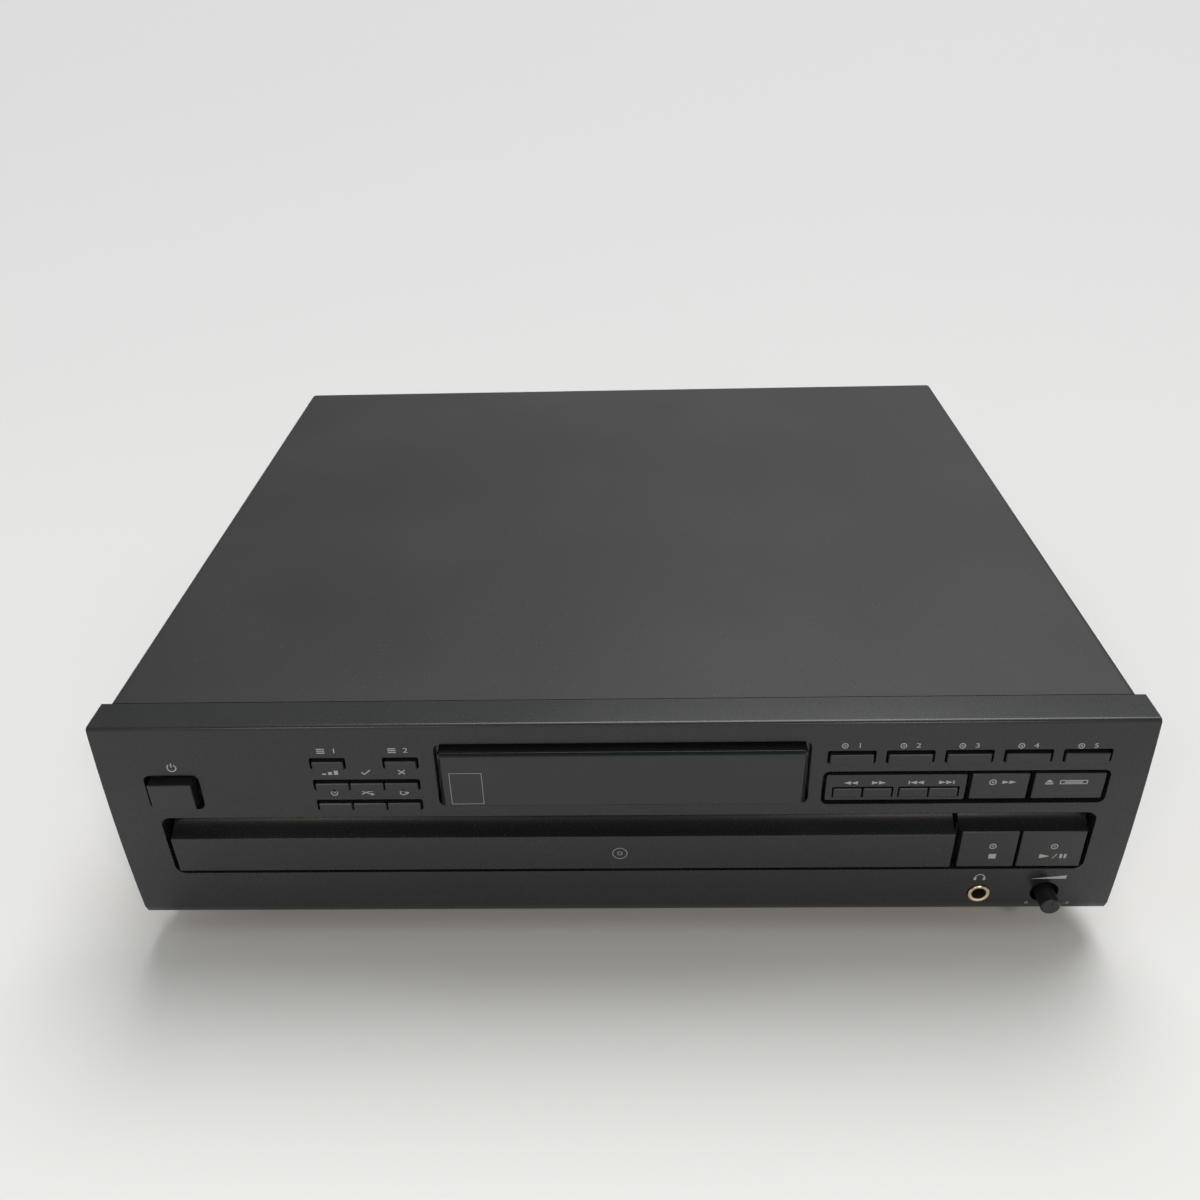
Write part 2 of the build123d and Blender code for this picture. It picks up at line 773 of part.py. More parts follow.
def key_centre(name):
    """The middle of a key, in X and height."""
    left, width, rise, height = keys[name][:4]
    return left + width / 2, fascia_bottom + rise + height / 2


transport_stems = ("stop_key", "play_pause_key")
panel_stems = [name for name in keys if keys[name][6] == "plate" and name not in transport_stems]
with BuildPart(cabinet) as key_panel:
    # The plate behind the panel's opening, with the fixed face round the search keys.
    with BuildSketch(front_plane(panel_plate_depth)):
        opening_sketch(
            panel_left - collar_wall,
            panel_width + 2 * collar_wall,
            panel_rise - collar_wall,
            panel_height + 2 * collar_wall,
            1.0,
        )
        with Locations(*[key_centre(name) for name in panel_stems]):
            Rectangle(stem_hole, stem_hole, mode=Mode.SUBTRACT)
    extrude(amount=-plate_thickness)
    with BuildSketch(front_plane(panel_face)):
        opening_sketch(panel_x, search_panel_width, panel_key_rise, panel_key_height, 0.8)
    extrude(amount=-(panel_plate_depth - panel_face))
    with BuildSketch(front_plane(panel_face)):
        for left in (search_left, search_right):
            opening_sketch(left, search_slot_width, search_slot_rise, search_slot_height, 0.5)
    extrude(amount=-(panel_plate_depth - panel_face), mode=Mode.SUBTRACT)
    # The plate behind the stop and play keys, under the fixed scoop that carries on the drawer's.
    scoop_z = fascia_bottom + scoop_start
    with BuildSketch(front_plane(panel_plate_depth)):
        with Locations(((insert_left + insert_right) / 2, (opening_bottom + insert_inset + scoop_z) / 2)):
            Rectangle(insert_right - insert_left, scoop_z - opening_bottom - insert_inset)
        with Locations(*[key_centre(name) for name in transport_stems]):
            Rectangle(stem_hole, stem_hole, mode=Mode.SUBTRACT)
    extrude(amount=-plate_thickness)
    with BuildSketch(side_plane(insert_left)):
        with BuildLine():
            insert_lip = (0.2, scoop_z)
            insert_crest = (0.2 + (insert_top - scoop_z) / scoop_slope, insert_top)
            SagittaArc(insert_lip, insert_crest, -scoop_hollow)
            Polyline(insert_crest, (insert_back, insert_top), (insert_back, scoop_z), insert_lip)
        make_face()
    extrude(amount=insert_right - insert_left)
key_panel.part.label = "key_panel"
export_step(key_panel.part, "parts/key_panel.step")

# ================================================================ keys
stem_half = 1.6
flange_thickness = 1.2
key_edge = 0.35
key_corner = 0.5
for name, (left, width, rise, height, proud, travel, style) in keys.items():
    centre_x, centre_z = key_centre(name)
    front = face_depth(centre_z) - proud
    flange_front = fascia_wall + face_depth(fascia_bottom + rise + height) + seat_gap
    key_back = {
        "flange": flange_front + flange_thickness,
        "plate": panel_plate_depth - travel - stop_gap,
        "stem": power_floor - travel - stop_gap,
    }[style]
    stem_end = switch_tip - travel - seat_gap
    with BuildPart(cabinet) as key:
        with BuildSketch(front_plane(front)):
            opening_sketch(left, width, rise, height, key_corner)
        extrude(amount=-(key_back - front))
        chamfer(key.faces().sort_by(Axis.Y)[0].edges(), key_edge)
        if style == "flange":
            flange_bottom = fascia_bottom + rise - small_lift - key_lip
            flange_top = fascia_bottom + rise + height + slot_gap + key_lip
            block(
                (left, left + width),
                (flange_front, flange_front + flange_thickness),
                (flange_bottom, flange_top),
            )
        block(
            (centre_x - stem_half, centre_x + stem_half),
            (key_back, stem_end),
            (centre_z - stem_half, centre_z + stem_half),
        )
    key.part.label = name
    export_step(key.part, f"parts/{name}.step")

# ================================================================ front board and its switches
board_inset = 8
board_bottom = opening_top + collar_wall + 1.2
leg_left = insert_left + 2.5
jack_notch = 8.5
pot_body_radius = 8
shaft_radius = 3
with BuildPart(cabinet) as front_board:
    board_span = (board_depth, board_depth + board_thickness)
    block((left_edge + board_inset, right_edge - board_inset), board_span, (board_bottom, fascia_top - 5))
    block((leg_left, right_edge - board_inset), board_span, (foot_height + 5, board_bottom))
    block(
        (phones_x - jack_notch, phones_x + jack_notch),
        board_span,
        (phones_z - jack_notch, phones_z + jack_notch),
        Mode.SUBTRACT,
    )
    rod(level_x, board_span, level_z, shaft_radius + 1, Mode.SUBTRACT)
front_board.part.label = "front_board"
export_step(front_board.part, "parts/front_board.step")

switch_half = 3
plunger_radius = 1.7
with BuildPart(cabinet) as key_switches:
    for name in keys:
        x, z = key_centre(name)
        block(
            (x - switch_half, x + switch_half),
            (board_depth - switch_height, board_depth),
            (z - switch_half, z + switch_half),
        )
        rod(x, (switch_tip, board_depth - switch_height), z, plunger_radius)
key_switches.part.label = "key_switches"
export_step(key_switches.part, "parts/key_switches.step")

# ================================================================ phones jack and level control
phones_face = face_depth(phones_z)
jack_nose_radius = 3.9
jack_body_depth = 36
phones_bore_depth = 33
jack_body_half = 7
nose_proud = 0.6
ring_proud = 0.9
body_front = phones_face + fascia_wall + 0.8
with BuildPart(cabinet) as phones_jack:
    rod(phones_x, (phones_face - nose_proud, body_front), phones_z, jack_nose_radius)
    block(
        (phones_x - jack_body_half, phones_x + jack_body_half),
        (body_front, jack_body_depth),
        (phones_z - jack_body_half, phones_z + jack_body_half),
    )
    rod(phones_x, (phones_face - 2, phones_bore_depth), phones_z, phones_bore_radius, Mode.SUBTRACT)
phones_jack.part.label = "phones_jack"
export_step(phones_jack.part, "parts/phones_jack.step")

with BuildPart(cabinet) as jack_ring:
    rod(phones_x, (phones_face - ring_proud, body_front), phones_z, phones_ring_radius)
    rod(phones_x, (phones_face - 3, fascia_depth), phones_z, jack_nose_radius, Mode.SUBTRACT)
    chamfer(jack_ring.faces().sort_by(Axis.Y)[0].edges(), 0.3)
jack_ring.part.label = "jack_ring"
export_step(jack_ring.part, "parts/jack_ring.step")

pot_rear = 26
knob_radius = 4.35
knob_length = 12
knob_bore_depth = 5
shaft_front = knob_bore_depth - knob_reach
shaft_length = 39
lock_wall = 2
lock_rear = shaft_front + shaft_length + level_travel + 2 * lock_wall
lock_half = 7
with BuildPart(cabinet) as level_pot:
    rod(level_x, (board_depth + board_thickness, pot_rear), level_z, pot_body_radius)
    block(
        (level_x - lock_half, level_x + lock_half),
        (pot_rear, lock_rear),
        (level_z - lock_half, level_z + lock_half),
    )
    rod(level_x, (board_depth, lock_rear - lock_wall), level_z, shaft_radius + running, Mode.SUBTRACT)
level_pot.part.label = "level_pot"
export_step(level_pot.part, "parts/level_pot.step")

with BuildPart(cabinet) as level_shaft:
    rod(level_x, (shaft_front, shaft_front + shaft_length), level_z, shaft_radius)
level_shaft.part.label = "level_shaft"
export_step(level_shaft.part, "parts/level_shaft.step")

# The knob's front edge is rounded, and a shallow line marks its zero.
with BuildPart(cabinet) as level_knob:
    rod(level_x, (-knob_reach, knob_length - knob_reach), level_z, knob_radius)
    chamfer(level_knob.faces().sort_by(Axis.Y)[0].edges(), 0.5)
    rod(level_x, (shaft_front - seat_gap, knob_length), level_z, shaft_radius + running, Mode.SUBTRACT)
    block(
        (level_x - 0.4, level_x + 0.4),
        (-knob_reach, -knob_reach + 0.4),
        (level_z + 1, level_z + knob_radius),
        Mode.SUBTRACT,
    )
level_knob.part.label = "level_knob"
export_step(level_knob.part, "parts/level_knob.step")

# ================================================================ loading mechanism
loader_floor = 2.0
loader_top = chassis_z + loader_floor
rail_inner = tray_half + sliding
rail_outer = rail_inner + rail_wall
bridge_gap = 3.5
bridge_z = deck_z + bridge_gap
bridge_thickness = 2.5
bridge_width = 50
disc_depth = carousel_depth + well_centre_radius  # the disc that is being played

# The pickup frame tips on a cross axis in front of the disc, and lies tipped down at rest.
# A slider stands behind it, and the slider's sloping slot raises the frame's pin. The slot's
# lower end is as low as the slider allows, which settles the height of the cross axis.
hub_y = 96  # the disc's axis behind the cross axis
pickup_tail = 40  # the frame behind the disc's axis
pickup_length = hub_y + pickup_tail
pickup_tilt = 9.5
tilt = radians(pickup_tilt)
slider_gap = 6
slider_thickness = 2
slider_web = 1.74  # below the slot
lift_pin_radius = 2
lift_pin_rise = 12.5
slot_clearance = 0.5
pivot_depth = disc_depth - hub_y
slider_depth = pivot_depth + pickup_length + slider_gap
slider_bottom = chassis_z + seat_gap
slider_top = ring_z - 1.5
pin_arm = slider_depth + slider_thickness / 2 - pivot_depth
pin_low = slider_bottom + slider_web + lift_pin_radius + slot_clearance
pivot_z = pin_low + pin_arm * tan(tilt) - lift_pin_rise / cos(tilt)  # comes to 33
pin_high = pivot_z + lift_pin_rise
slider_travel = pin_high - pin_low
pivot_pin_radius = 2
pickup_half = 46
pickup_ear = 4
pickup_slot_half = 58
pickup_axis = (0, sin(tilt), cos(tilt))
pickup = Plane(origin=(drawer_x, face_y + pivot_depth, pivot_z), x_dir=(1, 0, 0), z_dir=pickup_axis)

# The drawer's rack drives, or is driven by, the loading gear beside it.
rack_module = 1.5
rack_backlash = 0.15
loading_teeth = 16
rack_inset = 40.4  # pitch line, from the tray's side
rack_offset = tray_half - rack_inset
rack_body = 7
loading_radius = loading_teeth * rack_module / 2
loading_x = drawer_x + rack_offset + loading_radius
loading_depth = 62
belt_width = 1.4
belt_thickness = 1.0
groove_height = 2.0
pulley_height = 4
pulley_groove = 18.5
motor_groove = 4.0
flange_step = 1.5
pulley_z = rack_z - 6
motor_gap = 50
axle_radius = 2
motor_radius = 12
motor_height = 16
motor_shaft_radius = 1.0
rear_wall = 2

with BuildPart(cabinet) as loader_frame:
    frame_span = (drawer_x - rail_outer, drawer_x + rail_outer)
    block(frame_span, (rail_front, rail_rear), (chassis_z, loader_top))
    pickup_well = (drawer_x - pickup_half - 1.5, drawer_x + pickup_half + 1.5)
    slider_well = (slider_depth - seat_gap, slider_depth + slider_thickness + seat_gap)
    for span in ((pivot_depth + 8, slider_depth - 2), slider_well):
        block(pickup_well, span, (chassis_z, loader_top), Mode.SUBTRACT)
    for side in (-1, 1):
        wall = sorted((drawer_x + side * rail_inner, drawer_x + side * rail_outer))
        groove_end = tray_half + tongue_width + sliding
        groove = sorted((drawer_x + side * rail_inner, drawer_x + side * groove_end))
        block(wall, (rail_front, rail_rear), (loader_top, bridge_z))
        block(groove, (rail_front, rail_rear), (tray_z - seat_gap, tray_top + seat_gap), Mode.SUBTRACT)
        ear_start = pickup_half + 0.5
        ear = sorted((drawer_x + side * ear_start, drawer_x + side * (ear_start + pickup_ear)))
        block(ear, (pivot_depth - 6, pivot_depth + 6), (loader_top, pivot_z + 5))
        cross_rod(ear, pivot_depth, pivot_z, pivot_pin_radius + running, Mode.SUBTRACT)
    wall_front = slider_depth + slider_thickness + 1.0
    block(
        (drawer_x - pickup_half, drawer_x + pickup_half),
        (wall_front, wall_front + rear_wall),
        (loader_top, slider_top),
    )
    post(loading_x, loading_depth, (loader_top, pulley_z - seat_gap), axle_radius + 3)
    post(loading_x, loading_depth, (loader_top, tray_z - 0.8), axle_radius)
loader_frame.part.label = "loader_frame"
export_step(loader_frame.part, "parts/loader_frame.step")

# A gear with its belt pulley below it, on a fixed axle.
with BuildPart(cabinet) as loading_gear:
    with BuildSketch(level_plane(pulley_z + pulley_height)):
        gear_face(loading_x, loading_depth, loading_teeth, rack_module, rack_backlash, pi)
    extrude(amount=tray_z - seat_gap - pulley_z - pulley_height)
    post(loading_x, loading_depth, (pulley_z, pulley_z + pulley_height), pulley_groove + flange_step)
    groove_z = pulley_z + (pulley_height - groove_height) / 2
    with BuildSketch(level_plane(groove_z)):
        with Locations((loading_x, loading_depth)):
            Circle(pulley_groove + flange_step)
            Circle(pulley_groove, mode=Mode.SUBTRACT)
    extrude(amount=groove_height, mode=Mode.SUBTRACT)
    post(loading_x, loading_depth, (pulley_z - 1, tray_z), axle_radius + running, Mode.SUBTRACT)
loading_gear.part.label = "loading_gear"
export_step(loading_gear.part, "parts/loading_gear.step")

motor_depth = loading_depth + motor_gap
with BuildPart(cabinet) as loading_motor:
    post(loading_x, motor_depth, (loader_top, loader_top + motor_height), motor_radius)
    post(loading_x, motor_depth, (loader_top + motor_height, loader_top + motor_height + 1), 3)
    shaft_bore = motor_shaft_radius + running
    post(loading_x, motor_depth, (loader_top + 4, loader_top + motor_height + 2), shaft_bore, Mode.SUBTRACT)
loading_motor.part.label = "loading_motor"
export_step(loading_motor.part, "parts/loading_motor.step")

with BuildPart(cabinet) as motor_pulley:
    post(loading_x, motor_depth, (pulley_z, pulley_z + pulley_height), motor_groove + flange_step)
    with BuildSketch(level_plane(groove_z)):
        with Locations((loading_x, motor_depth)):
            Circle(motor_groove + flange_step)
            Circle(motor_groove, mode=Mode.SUBTRACT)
    extrude(amount=groove_height, mode=Mode.SUBTRACT)
    post(loading_x, motor_depth, (loader_top + 4.5, pulley_z), motor_shaft_radius)
motor_pulley.part.label = "motor_pulley"
export_step(motor_pulley.part, "parts/motor_pulley.step")

with BuildPart(cabinet) as loading_belt:
    belt_z = pulley_z + (pulley_height - belt_width) / 2
    for grow, mode in ((running + belt_thickness, Mode.ADD), (running, Mode.SUBTRACT)):
        with BuildSketch(level_plane(belt_z)):
            with Locations((loading_x, loading_depth)):
                Circle(pulley_groove + grow)
            with Locations((loading_x, motor_depth)):
                Circle(motor_groove + grow)
            make_hull()
        extrude(amount=belt_width, mode=mode)
loading_belt.part.label = "loading_belt"
export_step(loading_belt.part, "parts/loading_belt.step")

# The bridge over the carousel carries the puck that clamps the disc.
puck_radius = 14
puck_stem_radius = 11
puck_top_radius = 16
with BuildPart(cabinet) as clamp_bridge:
    bridge_span = (disc_depth - bridge_width / 2, disc_depth + bridge_width / 2)
    block(frame_span, bridge_span, (bridge_z, bridge_z + bridge_thickness))
    for y in bridge_span:
        edge = sorted((y, y + 2 if y < disc_depth else y - 2))
        block(frame_span, edge, (bridge_z + bridge_thickness, bridge_z + bridge_thickness + 4))
    post(drawer_x, disc_depth, (bridge_z - 1, bridge_z + 5), puck_stem_radius + 0.4, Mode.SUBTRACT)
clamp_bridge.part.label = "clamp_bridge"
export_step(clamp_bridge.part, "parts/clamp_bridge.step")

table_z = deck_z + 0.8  # underside of the disc when it is raised to play
puck_z = table_z + disc_thickness + seat_gap
cone_height = 2.0
with BuildPart(cabinet) as clamp_puck:
    post(drawer_x, disc_depth, (puck_z, bridge_z - 0.2), puck_radius)
    post(drawer_x, disc_depth, (bridge_z - 0.2, bridge_z + bridge_thickness + seat_gap), puck_stem_radius)
    post(
        drawer_x,
        disc_depth,
        (bridge_z + bridge_thickness + seat_gap, bridge_z + bridge_thickness + seat_gap + 1.5),
        puck_top_radius,
    )
    post(drawer_x, disc_depth, (puck_z - 1, puck_z + cone_height), 8.5, Mode.SUBTRACT)
clamp_puck.part.label = "clamp_puck"
export_step(clamp_puck.part, "parts/clamp_puck.step")

slider_left = -slider_travel - 7
slider_right = 8
with BuildPart(cabinet) as lift_slider:
    with BuildSketch(front_plane(slider_depth)):
        with Locations((drawer_x + (slider_left + slider_right) / 2, (slider_bottom + slider_top) / 2)):
            Rectangle(slider_right - slider_left, slider_top - slider_bottom)
    extrude(amount=-slider_thickness)
    with BuildSketch(front_plane(slider_depth)):
        with Locations((drawer_x, pin_low), (drawer_x - slider_travel, pin_high)):
            Circle(lift_pin_radius + slot_clearance)
        make_hull()
    extrude(amount=-slider_thickness, mode=Mode.SUBTRACT)
lift_slider.part.label = "lift_slider"
export_step(lift_slider.part, "parts/lift_slider.step")

# ================================================================ pickup, in its own tipped frame
frame_plate = (9, 11.5)
frame_side = 14
sled_z = (14, 21)
turret_top = table_z - pivot_z - 1.8
rod_x = 16
rod_z = 17.5
rod_radius = 1.5
spindle_motor_radius = 12
spindle_motor_top = 25
spindle_shaft_radius = 1.0
table_local = table_z - pivot_z
table_radius = 15
lens_near = 25  # from the disc's axis
lens_far = 58
sled_half_length = 9
rod_span = (hub_y - lens_far - sled_half_length - 7, hub_y - 10)
sled_half_width = 22
turret_half = 7
sled_y = hub_y - lens_near
with BuildPart(pickup) as pickup_frame:
    block((-pickup_half, pickup_half), (-4, pickup_length), frame_plate)
    window_half = pickup_half - frame_side
    window_span = (rod_span[0] + 4, hub_y - spindle_motor_radius - 4)
    block((-window_half, window_half), window_span, frame_plate, Mode.SUBTRACT)
    for side in (-1, 1):
        ear = sorted((side * pickup_half, side * (pickup_half - 4)))
        pin = sorted((side * pickup_half, side * (pickup_half + pickup_ear)))
        block(ear, (-4, 8), (-4, frame_plate[1]))
        cross_rod(pin, 0, 0, pivot_pin_radius)
        rod_support = sorted((side * (rod_x - 3), side * (rod_x + 3)))
        for y in ((rod_span[0] - 2, rod_span[0] + 2), (rod_span[1] - 2, rod_span[1] + 2)):
            block(rod_support, y, (frame_plate[1], rod_z + 3))
        rod(side * rod_x, rod_span, rod_z, rod_radius)
    block((-6, 6), (pickup_length - 4, pickup_length), (frame_plate[1], lift_pin_rise + 4))
    pin_end = slider_depth + slider_thickness + 0.2 - pivot_depth
    rod(0, (pickup_length, pin_end), lift_pin_rise, lift_pin_radius)
pickup_frame.part.label = "pickup_frame"
export_step(pickup_frame.part, "parts/pickup_frame.step")

with BuildPart(pickup) as spindle_motor:
    post(0, hub_y, (frame_plate[1], spindle_motor_top), spindle_motor_radius)
    chamfer(spindle_motor.faces().sort_by(Axis.Z)[-1].edges(), 0.8)
    spindle_bore = spindle_shaft_radius + running
    post(0, hub_y, (frame_plate[1] + 2, spindle_motor_top + 1), spindle_bore, Mode.SUBTRACT)
spindle_motor.part.label = "spindle_motor"
export_step(spindle_motor.part, "parts/spindle_motor.step")

with BuildPart(pickup) as disc_hub:
    post(0, hub_y, (frame_plate[1] + 2.5, spindle_motor_top + 1), spindle_shaft_radius)
    post(0, hub_y, (spindle_motor_top + 1, table_local - 1.5), 5)
    post(0, hub_y, (table_local - 1.5, table_local), table_radius)
    with Locations((0, hub_y, table_local + cone_height / 2)):
        Cone(7.3, 6.0, cone_height)
disc_hub.part.label = "disc_hub"
export_step(disc_hub.part, "parts/disc_hub.step")

# The laser sled runs on two rods, with its lens turret in the middle.
with BuildPart(pickup) as laser_sled:
    sled_span = (sled_y - sled_half_length, sled_y + sled_half_length)
    block((-sled_half_width, sled_half_width), sled_span, sled_z)
    block(
        (-turret_half, turret_half),
        (sled_y - turret_half, sled_y + turret_half),
        (sled_z[1], turret_top - 1.5),
    )
    post(0, sled_y, (turret_top - 1.5, turret_top), 3.5)
    for side in (-1, 1):
        rod(
            side * rod_x,
            (sled_y - sled_half_length - 1, sled_y + sled_half_length + 1),
            rod_z,
            rod_radius + running,
            Mode.SUBTRACT,
        )
laser_sled.part.label = "laser_sled"
export_step(laser_sled.part, "parts/laser_sled.step")

# ================================================================ drawer
carousel_module = 2.5
carousel_backlash = 0.25
pinion_teeth = 12
ring_margin = 4  # gear pitch circle inside the carousel's rim
ring_teeth = 2 * int((carousel_radius - ring_margin) / carousel_module)
ring_radius = ring_teeth * carousel_module / 2
pinion_radius = pinion_teeth * carousel_module / 2
mesh_angle = radians(135)  # the pinion lies in the drawer's rear left corner
pinion_x = drawer_x + (ring_radius + pinion_radius) * cos(mesh_angle)
pinion_depth = carousel_depth + (ring_radius + pinion_radius) * sin(mesh_angle)
tray_side_height = 12
tray_front_top = opening_top - 3
rack_pitch = pi * rack_module
first_tooth = -3
last_tooth = int(drawer_travel / rack_pitch) + 3


def rack_points():
    """Corners of the rack's toothed edge, from front to back, with a gap at the gear."""
    line = drawer_x + rack_offset
    half = rack_pitch / 4 - rack_backlash / 2
    root = half + dedendum * rack_module * tan(pressure_angle)
    tip = half - addendum * rack_module * tan(pressure_angle)
    points = []
    for tooth in range(first_tooth, last_tooth + 1):
        centre = loading_depth + (tooth + 0.5) * rack_pitch
        points.append((line - dedendum * rack_module, centre - root))
        points.append((line + addendum * rack_module, centre - tip))
        points.append((line + addendum * rack_module, centre + tip))
        points.append((line - dedendum * rack_module, centre + root))
    return points


with BuildPart(cabinet) as drawer_tray:
    side_x = (drawer_x - tray_half, drawer_x + tray_half)
    block(side_x, (tray_front, tray_rear), (tray_z, tray_top))
    block(
        (drawer_x - pickup_slot_half, drawer_x + pickup_slot_half),
        (pivot_depth + 14, tray_rear),
        (tray_z, tray_top),
        Mode.SUBTRACT,
    )
    block(side_x, (tray_front, tray_front + tray_wall), (tray_top, tray_front_top))
    for side in (-1, 1):
        wall = sorted((drawer_x + side * tray_half, drawer_x + side * (tray_half - tray_wall)))
        tongue = sorted((drawer_x + side * tray_half, drawer_x + side * (tray_half + tongue_width)))
        block(wall, (tray_front + tray_wall, tray_rear), (tray_top, tray_top + tray_side_height))
        block(tongue, (rail_front + 1, tray_rear), (tray_z, tray_top))
    post(drawer_x, carousel_depth, (tray_top, deck_z + 0.4), spindle_radius)
    post(drawer_x, carousel_depth, (tray_top, carousel_z - seat_gap), spindle_radius + 6)
    with BuildSketch(level_plane(rack_z)):
        edge = rack_points()
        back = drawer_x + rack_offset - dedendum * rack_module - rack_body
        Polygon(*edge, (back, edge[-1][1]), (back, edge[0][1]), align=None)
    extrude(amount=rack_height)
    post(pinion_x, pinion_depth, (tray_z, tray_top), motor_shaft_radius + 2, Mode.SUBTRACT)
drawer_tray.part.label = "drawer_tray"
export_step(drawer_tray.part, "parts/drawer_tray.step")

drawer_bottom = opening_bottom + drawer_clearance
crease_z = fascia_bottom + crease_rise
drawer_top = opening_top - drawer_clearance
bevel_end = face_depth(crease_z) + (drawer_top - crease_z) / scoop_slope
with BuildPart(cabinet) as drawer_front:
    with BuildSketch(side_plane(drawer_x)):
        with BuildLine():
            middle = (drawer_bottom + crease_z) / 2
            ThreePointArc(
                (face_depth(drawer_bottom), drawer_bottom),
                (face_depth(middle), middle),
                (face_depth(crease_z), crease_z),
            )
            SagittaArc((face_depth(crease_z), crease_z), (bevel_end, drawer_top), -scoop_hollow)
            Polyline(
                (bevel_end, drawer_top),
                (tray_front, drawer_top),
                (tray_front, drawer_bottom),
                (face_depth(drawer_bottom), drawer_bottom),
            )
        make_face()
    extrude(amount=drawer_front_half, both=True)
    with BuildSketch(side_plane(drawer_x)):
        wall = drawer_front_wall
        with BuildLine():
            Polyline(
                (face_depth(drawer_bottom) + wall, drawer_bottom + wall),
                (wall, crease_z - wall / 2),
                (tray_front, crease_z - wall / 2 + (tray_front - wall) * scoop_slope * 0.8),
                (tray_front, drawer_bottom + wall),
                close=True,
            )
        make_face()
    extrude(amount=drawer_front_half - wall, both=True, mode=Mode.SUBTRACT)
drawer_front.part.label = "drawer_front"
export_step(drawer_front.part, "parts/drawer_front.step")

with BuildPart(cabinet) as carousel_motor:
    post(pinion_x, pinion_depth, (tray_z - motor_height, tray_z), motor_radius)
    post(pinion_x, pinion_depth, (tray_z - motor_height + 4, tray_z + 1), shaft_bore, Mode.SUBTRACT)
carousel_motor.part.label = "carousel_motor"
export_step(carousel_motor.part, "parts/carousel_motor.step")

pinion_phase = mesh_angle + pi + pi / pinion_teeth
with BuildPart(cabinet) as carousel_pinion:
    with BuildSketch(level_plane(tray_top + seat_gap)):
        gear_face(pinion_x, pinion_depth, pinion_teeth, carousel_module, carousel_backlash, pinion_phase)
    extrude(amount=carousel_z - 0.5 - tray_top - seat_gap)
    post(pinion_x, pinion_depth, (tray_z - motor_height + 4.5, tray_top + seat_gap), motor_shaft_radius)
carousel_pinion.part.label = "carousel_pinion"
export_step(carousel_pinion.part, "parts/carousel_pinion.step")

play_angle = 90  # one well stands over the pickup
with BuildPart(cabinet) as carousel:
    with BuildSketch(level_plane(carousel_z)):
        with Locations((drawer_x, carousel_depth)):
            Circle(carousel_radius)
    extrude(amount=deck_z - carousel_z)
    with BuildSketch(level_plane(well_z)):
        with Locations((drawer_x, carousel_depth)):
            with PolarLocations(well_centre_radius, well_count, play_angle):
                Circle(well_radius)
    extrude(amount=well_depth, mode=Mode.SUBTRACT)
    with BuildSketch(level_plane(carousel_z)):
        with Locations((drawer_x, carousel_depth)):
            Circle(ring_radius - gear_band)
            Circle(well_centre_radius - 5, mode=Mode.SUBTRACT)
            with PolarLocations(well_centre_radius, well_count, play_angle):
                Circle(well_radius + 1.5, mode=Mode.SUBTRACT)
    extrude(amount=deck_z - shell - carousel_z, mode=Mode.SUBTRACT)
    slot_length = well_centre_radius - lens_slot_start + lens_slot_width / 2
    with BuildSketch(level_plane(carousel_z)):
        with Locations((drawer_x, carousel_depth)):
            with PolarLocations(well_centre_radius, well_count, play_angle):
                Circle(hub_hole_radius)
            with PolarLocations(lens_slot_start + slot_length / 2, well_count, play_angle):
                SlotOverall(slot_length, lens_slot_width)
    extrude(amount=shell, mode=Mode.SUBTRACT)
    with BuildSketch(level_plane(ring_z)):
        gear_face(drawer_x, carousel_depth, ring_teeth, carousel_module, carousel_backlash, mesh_angle)
        with Locations((drawer_x, carousel_depth)):
            Circle(ring_radius - gear_band, mode=Mode.SUBTRACT)
    extrude(amount=gear_height)
    post(drawer_x, carousel_depth, (ring_z, deck_z), spindle_radius + running, Mode.SUBTRACT)
carousel.part.label = "carousel"
export_step(carousel.part, "parts/carousel.step")
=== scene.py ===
# %% [markdown]
# # A five-disc carousel player
# This lesson dresses a full-width disc player for its portrait. The solids of the player are
# packed already and are loaded as a frame that never moves. Everything made here is a finish
# on one of those solids, a softened copy that stands for one, or a thin piece that sits on
# one: printed symbols, screw heads, rings and ribs, and the numbers on the carousel.

# %% Load the frame
import json
import math

import bpy
from mathutils import Matrix, Vector

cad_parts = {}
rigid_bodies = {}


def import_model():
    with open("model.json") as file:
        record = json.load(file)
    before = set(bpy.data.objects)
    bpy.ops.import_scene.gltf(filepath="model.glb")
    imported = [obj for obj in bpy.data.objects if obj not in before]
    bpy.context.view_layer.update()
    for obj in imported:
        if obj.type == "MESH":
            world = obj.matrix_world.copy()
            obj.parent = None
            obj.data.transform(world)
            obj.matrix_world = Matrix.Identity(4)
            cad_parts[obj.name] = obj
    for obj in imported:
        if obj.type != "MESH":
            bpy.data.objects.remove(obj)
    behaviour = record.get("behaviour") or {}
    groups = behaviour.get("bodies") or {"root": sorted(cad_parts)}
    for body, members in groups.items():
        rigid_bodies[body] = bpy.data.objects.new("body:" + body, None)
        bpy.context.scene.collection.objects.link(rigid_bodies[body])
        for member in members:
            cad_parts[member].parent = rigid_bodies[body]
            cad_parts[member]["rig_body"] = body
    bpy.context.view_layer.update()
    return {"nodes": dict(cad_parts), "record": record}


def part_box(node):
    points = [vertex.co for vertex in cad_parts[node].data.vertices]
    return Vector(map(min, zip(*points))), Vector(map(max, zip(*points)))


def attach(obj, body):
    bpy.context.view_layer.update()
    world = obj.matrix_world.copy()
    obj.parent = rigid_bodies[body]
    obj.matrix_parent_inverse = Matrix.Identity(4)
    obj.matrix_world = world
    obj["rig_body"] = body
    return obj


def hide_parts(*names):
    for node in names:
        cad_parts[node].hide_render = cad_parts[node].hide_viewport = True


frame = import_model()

nodes = frame["nodes"]
mm = 0.001

